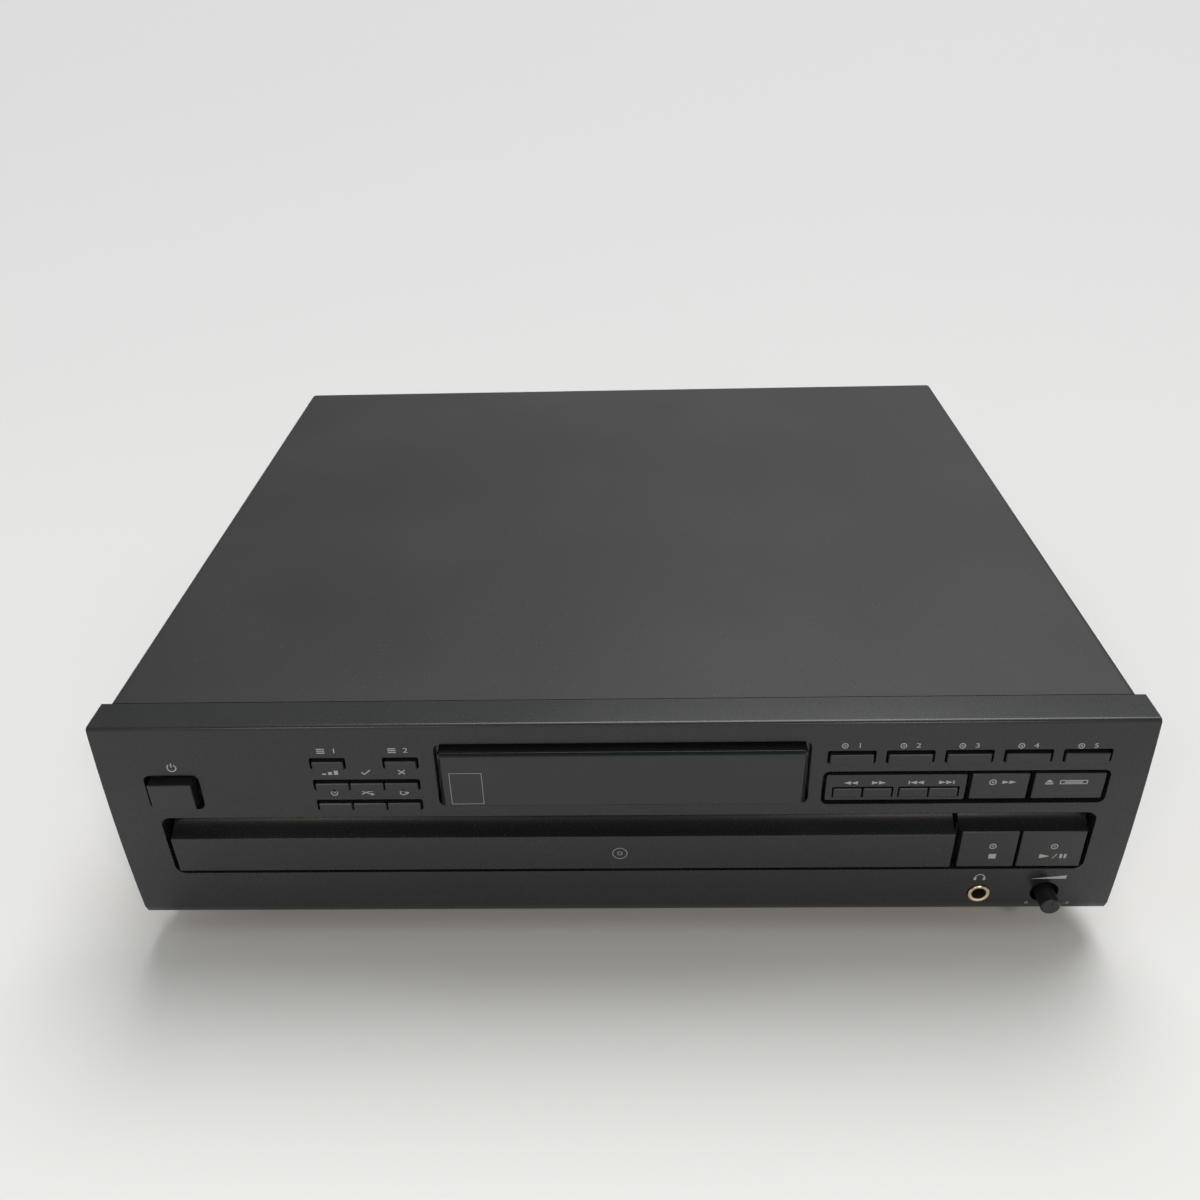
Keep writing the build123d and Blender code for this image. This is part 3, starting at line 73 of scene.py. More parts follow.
# %% [markdown]
# Most steps begin in the same way: nothing is selected, then one piece is selected and made
# active, because an operator acts on all that is selected. These helpers do that, and finish
# a piece by letting it ride on a body of the player and giving it its finish.


# %% Small helpers
def pick(piece):
    """Makes this the only selected piece, and the active one."""
    bpy.ops.object.select_all(action="DESELECT")
    piece.select_set(True)
    bpy.context.view_layer.objects.active = piece


def pick_all(pieces):
    """Selects these pieces alone, with the first one active."""
    pick(pieces[0])
    for piece in pieces[1:]:
        piece.select_set(True)


def apply_modifier(piece, kind, **settings):
    """Adds a modifier with these settings and applies it."""
    pick(piece)
    bpy.ops.object.modifier_add(type=kind)
    modifier = piece.modifiers[-1]
    for setting, value in settings.items():
        setattr(modifier, setting, value)
    bpy.ops.object.modifier_apply(modifier=modifier.name)


def settle(piece, body, material):
    """Puts the piece's place in its mesh, gives it a finish and lets it ride on a body."""
    pick(piece)
    bpy.ops.object.transform_apply(location=True, rotation=True, scale=True)
    piece.data.materials.clear()
    piece.data.materials.append(material)
    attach(piece, body)
    return piece


def middle(node):
    """The middle of a solid's box."""
    low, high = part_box(node)
    return (low + high) / 2


bpy.ops.object.select_all(action="DESELECT")
print("helpers ready")

# %% [markdown]
# ## Camera
# The portrait is taken from above and ahead of the front, from close to the middle, with a
# fairly wide lens. A camera's own axes are X right, Y up and Z back, so it is tipped up from
# straight down, turned a little to the left and rolled a little about its own line of sight.
# Lengths are in metres and turns are in radians.

# %% Camera
image_side = 1200
focal_pixels = 1094.2
sensor_width = 36
tip_down = 0.55066
turn_left = 0.03153
roll = -0.02826
eye_right = 0.0057
eye_ahead = 0.35196
eye_up = 0.4009
face_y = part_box("front_fascia")[0].y
eye = Vector((eye_right, face_y - eye_ahead, eye_up))

bpy.ops.object.camera_add(location=eye)
camera = bpy.context.object
camera.name = "portrait_camera"
camera.data.sensor_width = sensor_width
camera.data.lens = focal_pixels / image_side * sensor_width
camera.data.clip_start = 0.02
gaze = Matrix.Rotation(turn_left, 4, "Z") @ Matrix.Rotation(math.pi / 2 - tip_down, 4, "X")
camera.matrix_world = Matrix.Translation(eye) @ gaze @ Matrix.Rotation(roll, 4, "Z")
bpy.context.scene.camera = camera
print("lens", round(camera.data.lens, 2), "mm at", [round(v, 3) for v in eye])

# %% [markdown]
# ## Floor and light
# A black player shows its shape by what it reflects, so the room matters more than the lamps.
# The floor is plain and pale, and the lower part of the front mirrors it. The sky is bright
# at the horizon behind the camera, dark in a band above that, and pale overhead and behind the
# player. The dark band is what the hollow of the drawer reflects, so that it looks deep.

# %% Floor
floor_size = 40
floor_colour = (0.82, 0.812, 0.80, 1)
bpy.ops.mesh.primitive_plane_add(size=floor_size, location=(0, 0, 0))
floor = bpy.context.object
floor.name = "floor"
floor_material = bpy.data.materials.new("pale_floor")
floor_material.use_nodes = True
floor_shader = floor_material.node_tree.nodes["Principled BSDF"]
floor_shader.inputs["Base Color"].default_value = floor_colour
floor_shader.inputs["Roughness"].default_value = 0.6
floor_shader.inputs["Specular IOR Level"].default_value = 0.2
floor.data.materials.append(floor_material)
print("floor", tuple(floor.dimensions))

# %% Sky
world = bpy.data.worlds.new("studio")
bpy.context.scene.world = world
world.use_nodes = True
sky = world.node_tree
sky.nodes.clear()
sky_out = sky.nodes.new("ShaderNodeOutputWorld")
sky_light = sky.nodes.new("ShaderNodeBackground")
sky_way = sky.nodes.new("ShaderNodeTexCoord")
sky_parts = sky.nodes.new("ShaderNodeSeparateXYZ")
sky_ramp = sky.nodes.new("ShaderNodeValToRGB")
sky_range = sky.nodes.new("ShaderNodeMapRange")
sky_range.inputs["From Min"].default_value = -1
sky_range.inputs["From Max"].default_value = 1
sky.links.new(sky_way.outputs["Generated"], sky_parts.inputs[0])
sky.links.new(sky_parts.outputs["Y"], sky_range.inputs["Value"])
sky.links.new(sky_range.outputs["Result"], sky_ramp.inputs["Fac"])
sky.links.new(sky_ramp.outputs["Color"], sky_light.inputs["Color"])
sky.links.new(sky_light.outputs[0], sky_out.inputs["Surface"])
sky_stops = {  # 0 looks straight to the front and 1 straight to the back
    0.0: (0.95, 0.86, 0.80),
    0.10: (0.70, 0.64, 0.60),
    0.16: (0.015, 0.015, 0.015),
    0.24: (0.015, 0.015, 0.015),
    0.36: (0.48, 0.54, 0.57),
    0.85: (0.30, 0.298, 0.295),
}
while len(sky_ramp.color_ramp.elements) < len(sky_stops):
    sky_ramp.color_ramp.elements.new(0.5)
for stop, (position, colour) in zip(sky_ramp.color_ramp.elements, sky_stops.items()):
    stop.position = position
    stop.color = (*colour, 1)
print("sky stops", len(sky_ramp.color_ramp.elements))

# %% [markdown]
# A broad lamp like a hazy sun stands above and behind the player. It lights the floor evenly,
# and the player's soft shadow falls towards the camera. Two small warm lamps, high up behind
# the camera and to its sides, give faint glints on the hollow of the drawer, and a cool strip
# lamp between them gives faint cool lines on upper edges.

# %% Lamps
look_at = Vector((0, 0, 0.06))
warm = (1, 0.86, 0.70)
cool = (0.86, 0.95, 1.0)


def lamp(name, place, size, power, colour, depth=0.0):
    """A soft lamp that looks at the player: square, or oblong where it has a depth."""
    bpy.ops.object.light_add(type="AREA", location=place)
    light = bpy.context.object
    light.name = name
    light.data.size = size
    light.data.energy = power
    light.data.color = colour
    if depth:
        light.data.shape = "RECTANGLE"
        light.data.size_y = depth
    aim = look_at - Vector(place)
    light.rotation_euler = aim.to_track_quat("-Z", "Y").to_euler()
    return light


bpy.ops.object.light_add(type="SUN", location=(0.3, 0.9, 1.8))
daylight = bpy.context.object
daylight.name = "daylight"
daylight.data.energy = 2.0
daylight.data.angle = math.radians(42)
daylight.rotation_euler = (-daylight.location).to_track_quat("-Z", "Y").to_euler()
lamps = [
    daylight,
    lamp("right_lamp", (0.45, -1.12, 0.98), 0.10, 1.7, warm),
    lamp("left_lamp", (-0.50, -1.12, 0.98), 0.10, 1.4, warm),
    lamp("window_strip", (0, -1.09, 1.05), 1.3, 0.8, cool, depth=0.12),
]
bpy.context.scene.view_settings.view_transform = "Standard"
print("lamps", [light.name for light in lamps])

# %% [markdown]
# ## Effects that finishes share
# Moulded plastic and sprayed paint are never quite even. One group of nodes makes the fine
# grain of the tool or the spray, and another makes the dust that settles on faces that look
# up. Both give plain values, so that each finish decides how much of them it takes.


# %% Group helpers
def new_group(name, inputs, outputs):
    """An empty group of shader nodes with named number sockets."""
    group = bpy.data.node_groups.new(name, "ShaderNodeTree")
    for socket, value in inputs.items():
        made = group.interface.new_socket(socket, in_out="INPUT", socket_type="NodeSocketFloat")
        made.default_value = value
    for socket in outputs:
        group.interface.new_socket(socket, in_out="OUTPUT", socket_type="NodeSocketFloat")
    entry = group.nodes.new("NodeGroupInput")
    result = group.nodes.new("NodeGroupOutput")
    return group, entry, result


def node(tree, kind, **inputs):
    """A shader node with values or links for its inputs, named with _ for a space."""
    made = tree.nodes.new("ShaderNode" + kind)
    for socket, value in inputs.items():
        target = made.inputs[socket.replace("_", " ")]
        if isinstance(value, bpy.types.NodeSocket):
            tree.links.new(value, target)
        else:
            target.default_value = value
    return made


def maths(tree, operation, first, second=0.0, clamp=False):
    """One step of arithmetic, which gives its result's socket."""
    made = tree.nodes.new("ShaderNodeMath")
    made.operation = operation
    made.use_clamp = clamp
    for socket, value in zip(made.inputs, (first, second)):
        if isinstance(value, bpy.types.NodeSocket):
            tree.links.new(value, socket)
        else:
            socket.default_value = value
    return made.outputs[0]


print("node helpers ready")

# %% Grain group
fine_share = 0.7
blotch_share = 0.3
grain_group, entry, result = new_group("fine_grain", {"Scale": 2200.0}, ("Height", "Tone"))
place = node(grain_group, "TexCoord").outputs["Object"]
fine = node(grain_group, "TexNoise", Vector=place, Scale=entry.outputs["Scale"], Detail=2.0)
blotch = node(grain_group, "TexNoise", Vector=place, Scale=22.0, Detail=3.0)
tone = maths(grain_group, "ADD", maths(grain_group, "MULTIPLY", fine.outputs[0], fine_share),
             maths(grain_group, "MULTIPLY", blotch.outputs[0], blotch_share))
grain_group.links.new(fine.outputs[0], result.inputs["Height"])
grain_group.links.new(tone, result.inputs["Tone"])
print("group", grain_group.name)

# %% [markdown]
# Dust is a thin film that drifts in soft patches, with a few specks in it. The specks are the
# middles of small cells, of which only a few are taken. Both fade out on faces that don't look
# up, because dust falls.

# %% Dust group
speck_radius = 0.16
speck_cut = 0.93
drift_floor = 0.42
drift_strength = 0.2
dust_group, entry, result = new_group("settled_dust", {"Amount": 0.4, "Specks": 900.0}, ("Mask",))
place = node(dust_group, "TexCoord").outputs["Object"]
up = node(dust_group, "SeparateXYZ", Vector=node(dust_group, "NewGeometry").outputs["Normal"])
facing_up = maths(dust_group, "MULTIPLY", maths(dust_group, "SUBTRACT", up.outputs["Z"], 0.5), 2, True)
cells = node(dust_group, "TexVoronoi", Vector=place, Scale=entry.outputs["Specks"])
speck = maths(dust_group, "LESS_THAN", cells.outputs["Distance"], speck_radius)
chosen = node(dust_group, "SeparateColor", Color=cells.outputs["Color"])
rare = maths(dust_group, "GREATER_THAN", chosen.outputs[0], speck_cut)
drift = node(dust_group, "TexNoise", Vector=place, Scale=9.0, Detail=4.0)
patches = maths(dust_group, "SUBTRACT", drift.outputs[0], drift_floor, True)
film = maths(dust_group, "MULTIPLY", patches, drift_strength)
both = maths(dust_group, "ADD", maths(dust_group, "MULTIPLY", speck, rare), film)
lying = maths(dust_group, "MULTIPLY", both, facing_up)
mask = maths(dust_group, "MULTIPLY", lying, entry.outputs["Amount"], True)
dust_group.links.new(mask, result.inputs["Mask"])
print("group", dust_group.name)

# %% [markdown]
# ## Finishes
# Every finish is a Principled shader. Its colour runs between two close tones with the grain,
# dust lightens what looks up, and the same grain is a very shallow bump. The gloss is what
# tells the black plastics apart: the front is satin and the window is polished.

# %% Finish maker
dust_colour = (0.30, 0.29, 0.27, 1)
bump_depth = 0.2 * mm
gloss_spread = 0.15
ramp_start = 0.3
ramp_end = 0.7


def finish(name, dark, light, roughness, grain=2200.0, bump=0.02, dust=0.3, metallic=0.0):
    """A material between two tones, with grain, dust and a shallow bump."""
    made = bpy.data.materials.new(name)
    made.use_nodes = True
    tree = made.node_tree
    shader = tree.nodes["Principled BSDF"]
    texture = node(tree, "Group")
    texture.node_tree = grain_group
    texture.inputs["Scale"].default_value = grain
    ramp = node(tree, "ValToRGB", Fac=texture.outputs["Tone"])
    for stop, position, tint in zip(ramp.color_ramp.elements, (ramp_start, ramp_end), (dark, light)):
        stop.position = position
        stop.color = (*tint, 1)
    colour = ramp.outputs["Color"]
    if dust:
        settled = node(tree, "Group")
        settled.node_tree = dust_group
        settled.inputs["Amount"].default_value = dust
        over = node(tree, "MixRGB", Fac=settled.outputs["Mask"], Color1=colour, Color2=dust_colour)
        colour = over.outputs["Color"]
    tree.links.new(colour, shader.inputs["Base Color"])
    spread = node(tree, "MapRange", Value=texture.outputs["Tone"], To_Min=roughness * (1 - gloss_spread),
                  To_Max=min(roughness * (1 + gloss_spread), 1))
    tree.links.new(spread.outputs["Result"], shader.inputs["Roughness"])
    if bump:
        relief = node(tree, "Bump", Height=texture.outputs["Height"], Strength=bump, Distance=bump_depth)
        tree.links.new(relief.outputs["Normal"], shader.inputs["Normal"])
    shader.inputs["Metallic"].default_value = metallic
    return made


print("finish maker ready")

# %% [markdown]
# Each slot of the frame's solids gets one finish: its name, its dark and its light tone, and
# its roughness, from 0 for a mirror to 1 for chalk. Metals are metallic, and small or hidden
# pieces have no dust.

# %% The finishes
finishes = {
    "satin_black_plastic": finish("satin_front", (0.0085, 0.0098, 0.0108), (0.014, 0.0158, 0.0170), 0.27,
                                  bump=0.008, dust=0.3),
    "black_key_plastic": finish("key_black", (0.010, 0.0112, 0.0122), (0.016, 0.0176, 0.0190), 0.30,
                                bump=0.012, dust=0.25),
    "smoked_window": finish("smoked_acrylic", (0.009, 0.0115, 0.0120), (0.012, 0.0150, 0.0155), 0.10,
                            grain=500.0, bump=0, dust=0.1),
    "cover_paint": finish("cover_spray", (0.004, 0.0047, 0.0046), (0.009, 0.0102, 0.0099), 0.50,
                          grain=1500.0, bump=0.12, dust=0.5),
    "zinc_sheet": finish("zinc_plate", (0.46, 0.47, 0.48), (0.58, 0.59, 0.59), 0.34, grain=300.0,
                         bump=0.02, dust=0.15, metallic=1.0),
    "foot_plastic": finish("foot_black", (0.010, 0.010, 0.010), (0.018, 0.018, 0.018), 0.6, dust=0),
    "black_screw": finish("black_oxide", (0.02, 0.02, 0.021), (0.05, 0.05, 0.052), 0.35, grain=900.0,
                          dust=0, metallic=0.6),
    "display_glass": finish("tube_glass", (0.03, 0.05, 0.05), (0.05, 0.08, 0.08), 0.08, bump=0, dust=0),
    "circuit_board": finish("phenolic_board", (0.30, 0.19, 0.07), (0.40, 0.27, 0.11), 0.45,
                            grain=700.0, dust=0.3),
    "component_plastic": finish("component_black", (0.02, 0.02, 0.022), (0.035, 0.035, 0.037), 0.4,
                                dust=0.2),
    "gold_plate": finish("gold_plating", (0.86, 0.68, 0.42), (0.94, 0.78, 0.52), 0.26, grain=900.0,
                         bump=0, dust=0, metallic=1.0),
    "knob_plastic": finish("knob_black", (0.010, 0.010, 0.011), (0.016, 0.016, 0.017), 0.3, dust=0),
    "steel": finish("ground_steel", (0.50, 0.50, 0.50), (0.62, 0.62, 0.61), 0.28, grain=1200.0,
                    bump=0.02, dust=0, metallic=1.0),
    "transformer_core": finish("varnished_iron", (0.16, 0.15, 0.14), (0.26, 0.25, 0.24), 0.4,
                               grain=800.0, dust=0.2, metallic=0.7),
    "mechanism_plastic": finish("mechanism_black", (0.025, 0.025, 0.027), (0.042, 0.042, 0.044), 0.5,
                                dust=0.2),
    "acetal": finish("white_acetal", (0.66, 0.66, 0.62), (0.76, 0.76, 0.72), 0.35, bump=0.01, dust=0.1),
    "tray_plastic": finish("tray_black", (0.018, 0.018, 0.020), (0.030, 0.030, 0.032), 0.45, dust=0.25),
    "belt_rubber": finish("belt_rubber", (0.012, 0.012, 0.012), (0.022, 0.022, 0.022), 0.7, dust=0),
    "gland_rubber": finish("gland_rubber", (0.013, 0.013, 0.013), (0.022, 0.022, 0.022), 0.65, dust=0),
}
print("finishes", len(finishes))

# %% Dress every solid
slot_of = {part["node"]: part["material_slot"] for part in frame["record"]["subparts"]}
for name, solid in nodes.items():
    solid.data.materials.clear()
    solid.data.materials.append(finishes[slot_of[name]])
print("dressed", len(slot_of), "solids")

# %% [markdown]
# ## Softened mouldings
# No moulded edge is knife sharp: each one is rounded a little and catches a thin line of light.
# A solid is loose triangles, so a copy of it is merged first, its flat faces are joined again,
# and a narrow bevel then finds every sharp edge by its angle. The copy stands for the solid.
# A key's brow is the slope above its face, which the real keys have taller than the solids do.

# %% Soften a solid
flat_angle = math.radians(0.5)
bevel_angle = math.radians(28)
smooth_angle = math.radians(40)
hair = 0.01 * mm
soft_pieces = {}


def merged_copy(name):
    """A copy of a solid whose triangles are joined into whole faces."""
    mesh = nodes[name].data.copy()
    piece = bpy.data.objects.new(name + "_moulding", mesh)
    bpy.context.scene.collection.objects.link(piece)
    pick(piece)
    bpy.ops.object.mode_set(mode="EDIT")
    bpy.ops.mesh.select_all(action="SELECT")
    bpy.ops.mesh.customdata_custom_splitnormals_clear()
    bpy.ops.mesh.remove_doubles(threshold=0.001 * mm)
    bpy.ops.mesh.dissolve_limited(angle_limit=flat_angle)
    bpy.ops.object.mode_set(mode="OBJECT")
    return piece


def lower_brow(piece, drop):
    """Moves the upper edge of a key's face down, so that the slope above it is taller."""
    points = piece.data.vertices
    front = min(v.co.y for v in points)
    face = [v for v in points if v.co.y < front + hair]
    centre = (min(v.co.z for v in face) + max(v.co.z for v in face)) / 2
    pick(piece)
    for v in points:
        v.select = v.co.y < front + hair and v.co.z > centre
    bpy.ops.object.mode_set(mode="EDIT")
    bpy.ops.transform.translate(value=(0, 0, -drop))
    bpy.ops.object.mode_set(mode="OBJECT")


def soften(name, width, brow=0.0, clamp=False):
    """Rounds the edges of a merged copy, which then stands for its solid."""
    piece = merged_copy(name)
    if brow:
        lower_brow(piece, brow)
    apply_modifier(piece, "BEVEL", width=width, segments=2, limit_method="ANGLE",
                   angle_limit=bevel_angle, use_clamp_overlap=clamp)
    pick(piece)
    bpy.ops.object.shade_smooth_by_angle(angle=smooth_angle)
    apply_modifier(piece, "WEIGHTED_NORMAL", weight=80, keep_sharp=True)
    slot = slot_of[name]
    settle(piece, nodes[name]["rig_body"], finishes[slot])
    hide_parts(name)
    soft_pieces[name] = piece


print("softening ready")

# %% [markdown]
# Large mouldings are rounded more than small ones. The keys get the narrowest edges, and the
# small keys and the search keys get their taller brows. Where a bevel could run into the next
# edge of a key, it is clamped. Edge widths and brows are in millimetres.

# %% Mouldings
edge_widths = {
    "front_fascia": 0.2, "drawer_front": 0.25, "key_panel": 0.12, "display_window": 0.2,
    "level_knob": 0.2, "top_cover": 0.3, "feet": 0.4, "carousel": 0.25, "drawer_tray": 0.3,
}
for name, width in edge_widths.items():
    soften(name, width * mm)
small_keys = ["edit_key_1", "edit_key_2", "program_key", "check_key", "clear_key", "time_key",
              "random_key", "repeat_key"] + [f"disc_key_{number}" for number in range(1, 6)]
search_keys = ["search_back_key", "search_forward_key", "skip_back_key", "skip_forward_key"]
plain_keys = ["power_key", "disc_skip_key", "open_close_key", "stop_key", "play_pause_key"]
for keys, width, brow in ((small_keys, 0.1, 0.8), (search_keys, 0.1, 0.5), (plain_keys, 0.12, 0)):
    for name in keys:
        soften(name, width * mm, brow=brow * mm, clamp=True)
print("softened", len(soft_pieces), "pieces")

# %% [markdown]
# ## Printed symbols
# The real front has pale printing over and on its keys. Here it is plain pictograms and
# numbers. Each is a flat outline, made a thin sheet, stood up in front of the place that it
# belongs to, pressed back onto the surface by a shrinkwrap and given the thickness of ink.
# Outlines are drawn in millimetres from the symbol's own middle, and symbol_scale enlarges
# them all alike.

# %% Outlines of symbols
ring_steps = 28
band_steps = 20


def circle(x, z, radius):
    """A closed ring of points."""
    turns = [2 * math.pi * step / ring_steps for step in range(ring_steps)]
    return [(x + radius * math.cos(turn), z + radius * math.sin(turn)) for turn in turns]


def band(x, z, radius, width, start, end):
    """Part of a ring, between two angles in degrees."""
    turns = [math.radians(start + (end - start) * step / band_steps) for step in range(band_steps + 1)]
    outer, inner = [[(x + reach * math.cos(turn), z + reach * math.sin(turn)) for turn in turns]
                    for reach in (radius + width / 2, radius - width / 2)]
    return [outer + inner[::-1]]


def ring(x, z, radius, width):
    """A whole ring: an outer and an inner outline."""
    return [circle(x, z, radius + width / 2), circle(x, z, radius - width / 2)]


def bar(x0, x1, z0, z1):
    """A rectangle."""
    return [[(x0, z0), (x1, z0), (x1, z1), (x0, z1)]]


def wedge(x0, x1, half):
    """A triangle whose point is at x1."""
    return [[(x0, -half), (x0, half), (x1, 0)]]


def line(start, end, width):
    """A straight stroke between two points."""
    along = Vector(end) - Vector(start)
    side = Vector((-along.y, along.x)).normalized() * width / 2
    corners = (Vector(start) + side, Vector(end) + side, Vector(end) - side, Vector(start) - side)
    return [[tuple(corner) for corner in corners]]


def frame_line(x0, x1, z0, z1, width):
    """The outline of a rectangle."""
    return [bar(x0, x1, z0, z1)[0], bar(x0 + width, x1 - width, z0 + width, z1 - width)[0]]


def moved(strokes, right, up=0.0):
    """The same strokes, moved to the right and up."""
    return [[[(x + right, z + up) for x, z in points] for points in stroke] for stroke in strokes]


print("outlines ready")

# %% Press ink onto a surface
ink = finish("pale_ink", (0.34, 0.34, 0.34), (0.42, 0.42, 0.41), 0.55, grain=4000.0, bump=0, dust=0)
ink_thickness = 0.04 * mm
symbol_scale = 1.22
capital_share = 0.72  # the height of a digit, as a part of the size of its type
stand_off = 1 * mm
fascia_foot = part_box("front_fascia")[0].z


def flat_outline(outlines):
    """A filled flat mesh from closed outlines in mm; one inside another is a hole."""
    curve = bpy.data.curves.new("outline", "CURVE")
    curve.dimensions = "2D"
    curve.fill_mode = "BOTH"
    for points in outlines:
        spline = curve.splines.new("POLY")
        spline.points.add(len(points) - 1)
        spline.use_cyclic_u = True
        for corner, (x, z) in zip(spline.points, points):
            corner.co = (x * mm * symbol_scale, z * mm * symbol_scale, 0, 1)
    shape = bpy.data.objects.new("outline", curve)
    bpy.context.scene.collection.objects.link(shape)
    pick(shape)
    bpy.ops.object.convert(target="MESH")
    return bpy.context.object


def flat_number(text, x, z, height, widen=1.35):
    """A number as a flat mesh, drawn wide as on the real front."""
    bpy.ops.object.text_add(location=(x * mm * symbol_scale, z * mm * symbol_scale, 0))
    number = bpy.context.object
    number.data.body = text
    number.data.align_x = "CENTER"
    number.data.align_y = "CENTER"
    number.data.size = height / capital_share * mm * symbol_scale
    number.scale = (widen, 1, 1)
    pick(number)
    bpy.ops.object.convert(target="MESH")
    bpy.ops.object.transform_apply(location=True, rotation=True, scale=True)
    return bpy.context.object


def press_ink(name, shapes, x, rise, carrier):
    """Joins flat shapes, stands them up at their place and presses them onto the carrier."""
    pick_all(shapes)
    if len(shapes) > 1:
        bpy.ops.object.join()
    piece = bpy.context.object
    piece.name = name
    target = soft_pieces[carrier]
    front = min(v.co.y for v in target.data.vertices)
    piece.rotation_euler = (math.pi / 2, 0, 0)
    piece.location = (x * mm, front - stand_off, fascia_foot + rise * mm)
    pick(piece)
    bpy.ops.object.transform_apply(location=True, rotation=True, scale=True)
    apply_modifier(piece, "SHRINKWRAP", wrap_method="PROJECT", use_project_y=True,
                   use_positive_direction=True, target=target)
    apply_modifier(piece, "SOLIDIFY", thickness=ink_thickness, offset=0)
    settle(piece, nodes[carrier]["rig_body"], ink)


def print_symbol(name, strokes, x, rise, carrier="front_fascia", numbers=()):
    """Strokes and numbers (text, x, z, height) as one pressed print."""
    shapes = [flat_outline(outlines) for outlines in strokes]
    shapes += [flat_number(*number) for number in numbers]
    press_ink(name, shapes, x, rise, carrier)


print("printing ready")

# %% [markdown]
# ## Symbols over the keys
# On the real front a line of small print over every key says what the key does. Here each has
# a pictogram: lines of a list for editing, rising steps for a programme, a tick for checking,
# a cross for clearing, a clock, crossing ways for a random order, a turning arrow for playing
# again, and a disc with its number. Each entry holds the strokes, the place across from the
# middle of the player and the height over the foot of the front, in millimetres.

# %% Symbols over the keys
list_lines = [line((-1.6, z), (1.2, z), 0.4) for z in (0.8, 0.0, -0.8)]
for number, x in enumerate((-120.8, -90.9), 1):
    print_symbol(f"edit_mark_{number}", moved(list_lines, -2.2), x, 95.7,
                 numbers=[(str(number), 2.2, 0, 2.0)])
steps = [bar(-3.0 + 2.1 * n, -1.6 + 2.1 * n, -0.9, -0.9 + 0.6 * (n + 1)) for n in range(3)]
tick = [line((-1.5, 0.1), (-0.5, -0.9), 0.42), line((-0.6, -0.9), (1.6, 1.0), 0.42)]
cross = [line((-1.2, -0.9), (1.2, 0.9), 0.42), line((-1.2, 0.9), (1.2, -0.9), 0.42)]
clock = [ring(0, 0, 1.1, 0.35), line((0, 0), (0, 0.8), 0.3), line((0, 0), (0.6, 0), 0.3)]
crossing = [line((-2.4, -0.7), (1.0, 0.8), 0.38), line((-2.4, 0.7), (1.0, -0.8), 0.38)]
way_head = [wedge(0.8, 2.2, 0.65)]
ways = crossing + moved(way_head, 0, -0.75) + moved(way_head, 0, 0.75)
turning = [band(0, 0, 1.1, 0.38, 20, 320), [[(0.6, 0.1), (2.0, 0.1), (1.3, -1.0)]]]
marks_over_keys = {
    "program_mark": (steps, -121.0, 84.5),
    "check_mark": (tick, -106.1, 84.5),
    "clear_mark": (cross, -90.9, 84.5),
    "time_mark": (clock, -120.8, 73.7),
    "random_mark": (ways, -106.3, 73.7),
    "repeat_mark": (turning, -91.3, 73.7),
}
for name, (strokes, x, rise) in marks_over_keys.items():
    print_symbol(name, strokes, x, rise)
small_disc = [ring(-2.6, 0, 0.95, 0.32), ring(-2.6, 0, 0.28, 0.2)]
disc_places = ((96.8, 96.3), (120.7, 96.1), (144.7, 95.8), (168.7, 95.6), (193.0, 95.3))
for number, (x, rise) in enumerate(disc_places, 1):
    print_symbol(f"disc_mark_{number}", small_disc, x, rise, numbers=[(str(number), 2.4, 0, 1.9)])
print("marks over", len(marks_over_keys) + len(disc_places) + 2, "keys")

# %% [markdown]
# ## Symbols on the keys
# The two wide keys at the right and the two large keys below them carry the usual signs of a
# player: a disc with arrows, a drawer that opens, a square for stop, an arrow for play and two
# bars for pause. The thin search and skip keys have their double arrows on the panel over
# them. A print rides on what it is printed on, so that a pressed key takes its sign along.

# %% Symbols on the keys
forward = [wedge(-2.4, 0.0, 0.75), wedge(0.0, 2.4, 0.75)]
backward = [wedge(2.4, 0.0, 0.75), wedge(0.0, -2.4, 0.75)]
disc = [ring(0, 0, 1.1, 0.36), ring(0, 0, 0.32, 0.22)]
lift = [[[(-8.2, -0.1), (-5.4, -0.1), (-6.8, 1.2)]], bar(-8.2, -5.4, -0.95, -0.45)]
drawer_sign = [frame_line(-3.2, 6.2, -0.9, 0.9, 0.34), bar(-1.6, 4.6, -0.25, 0.25)]
play = [wedge(-4.6, -0.9, 1.0), line((0.2, -1.1), (1.6, 1.1), 0.3)]
pause = [bar(2.6, 3.5, -1.0, 1.0), bar(4.1, 5.0, -1.0, 1.0)]
marks_on_keys = {
    "search_mark_back": (backward, 97.6, 77.1, "key_panel"),
    "search_mark_forward": (forward, 109.3, 77.1, "key_panel"),
    "search_mark_last": (backward + [bar(-2.85, -2.45, -0.75, 0.75)], 125.1, 77.1, "key_panel"),
    "search_mark_next": (forward + [bar(2.45, 2.85, -0.75, 0.75)], 137.2, 77.1, "key_panel"),
    "disc_skip_mark": (moved(disc, -3.4) + moved(forward, 2.2), 160.8, 76.9, "disc_skip_key"),
    "open_close_mark": (lift + drawer_sign, 188.3, 76.7, "open_close_key"),
    "stop_mark": ([bar(-1.3, 1.3, -1.1, 1.1)], 163.1, 34.6, "stop_key"),
    "stop_disc": (disc, 162.5, 40.5, "stop_key"),
    "play_pause_mark": (play + pause, 189.1, 34.5, "play_pause_key"),
    "play_disc": (disc, 189.1, 40.2, "play_pause_key"),
}
for name, (strokes, x, rise, carrier) in marks_on_keys.items():
    print_symbol(name, strokes, x, rise, carrier)
print("marks on keys", len(marks_on_keys))

# %% [markdown]
# ## Symbols round the front
# The power key has its usual sign above it and the phones socket a pair of phones. The level
# knob has a ramp above it, and its least and its most as digits below it. The window has a
# thin line round the place where the receiver looks out, and the drawer front has two plain
# rings in its lower half.

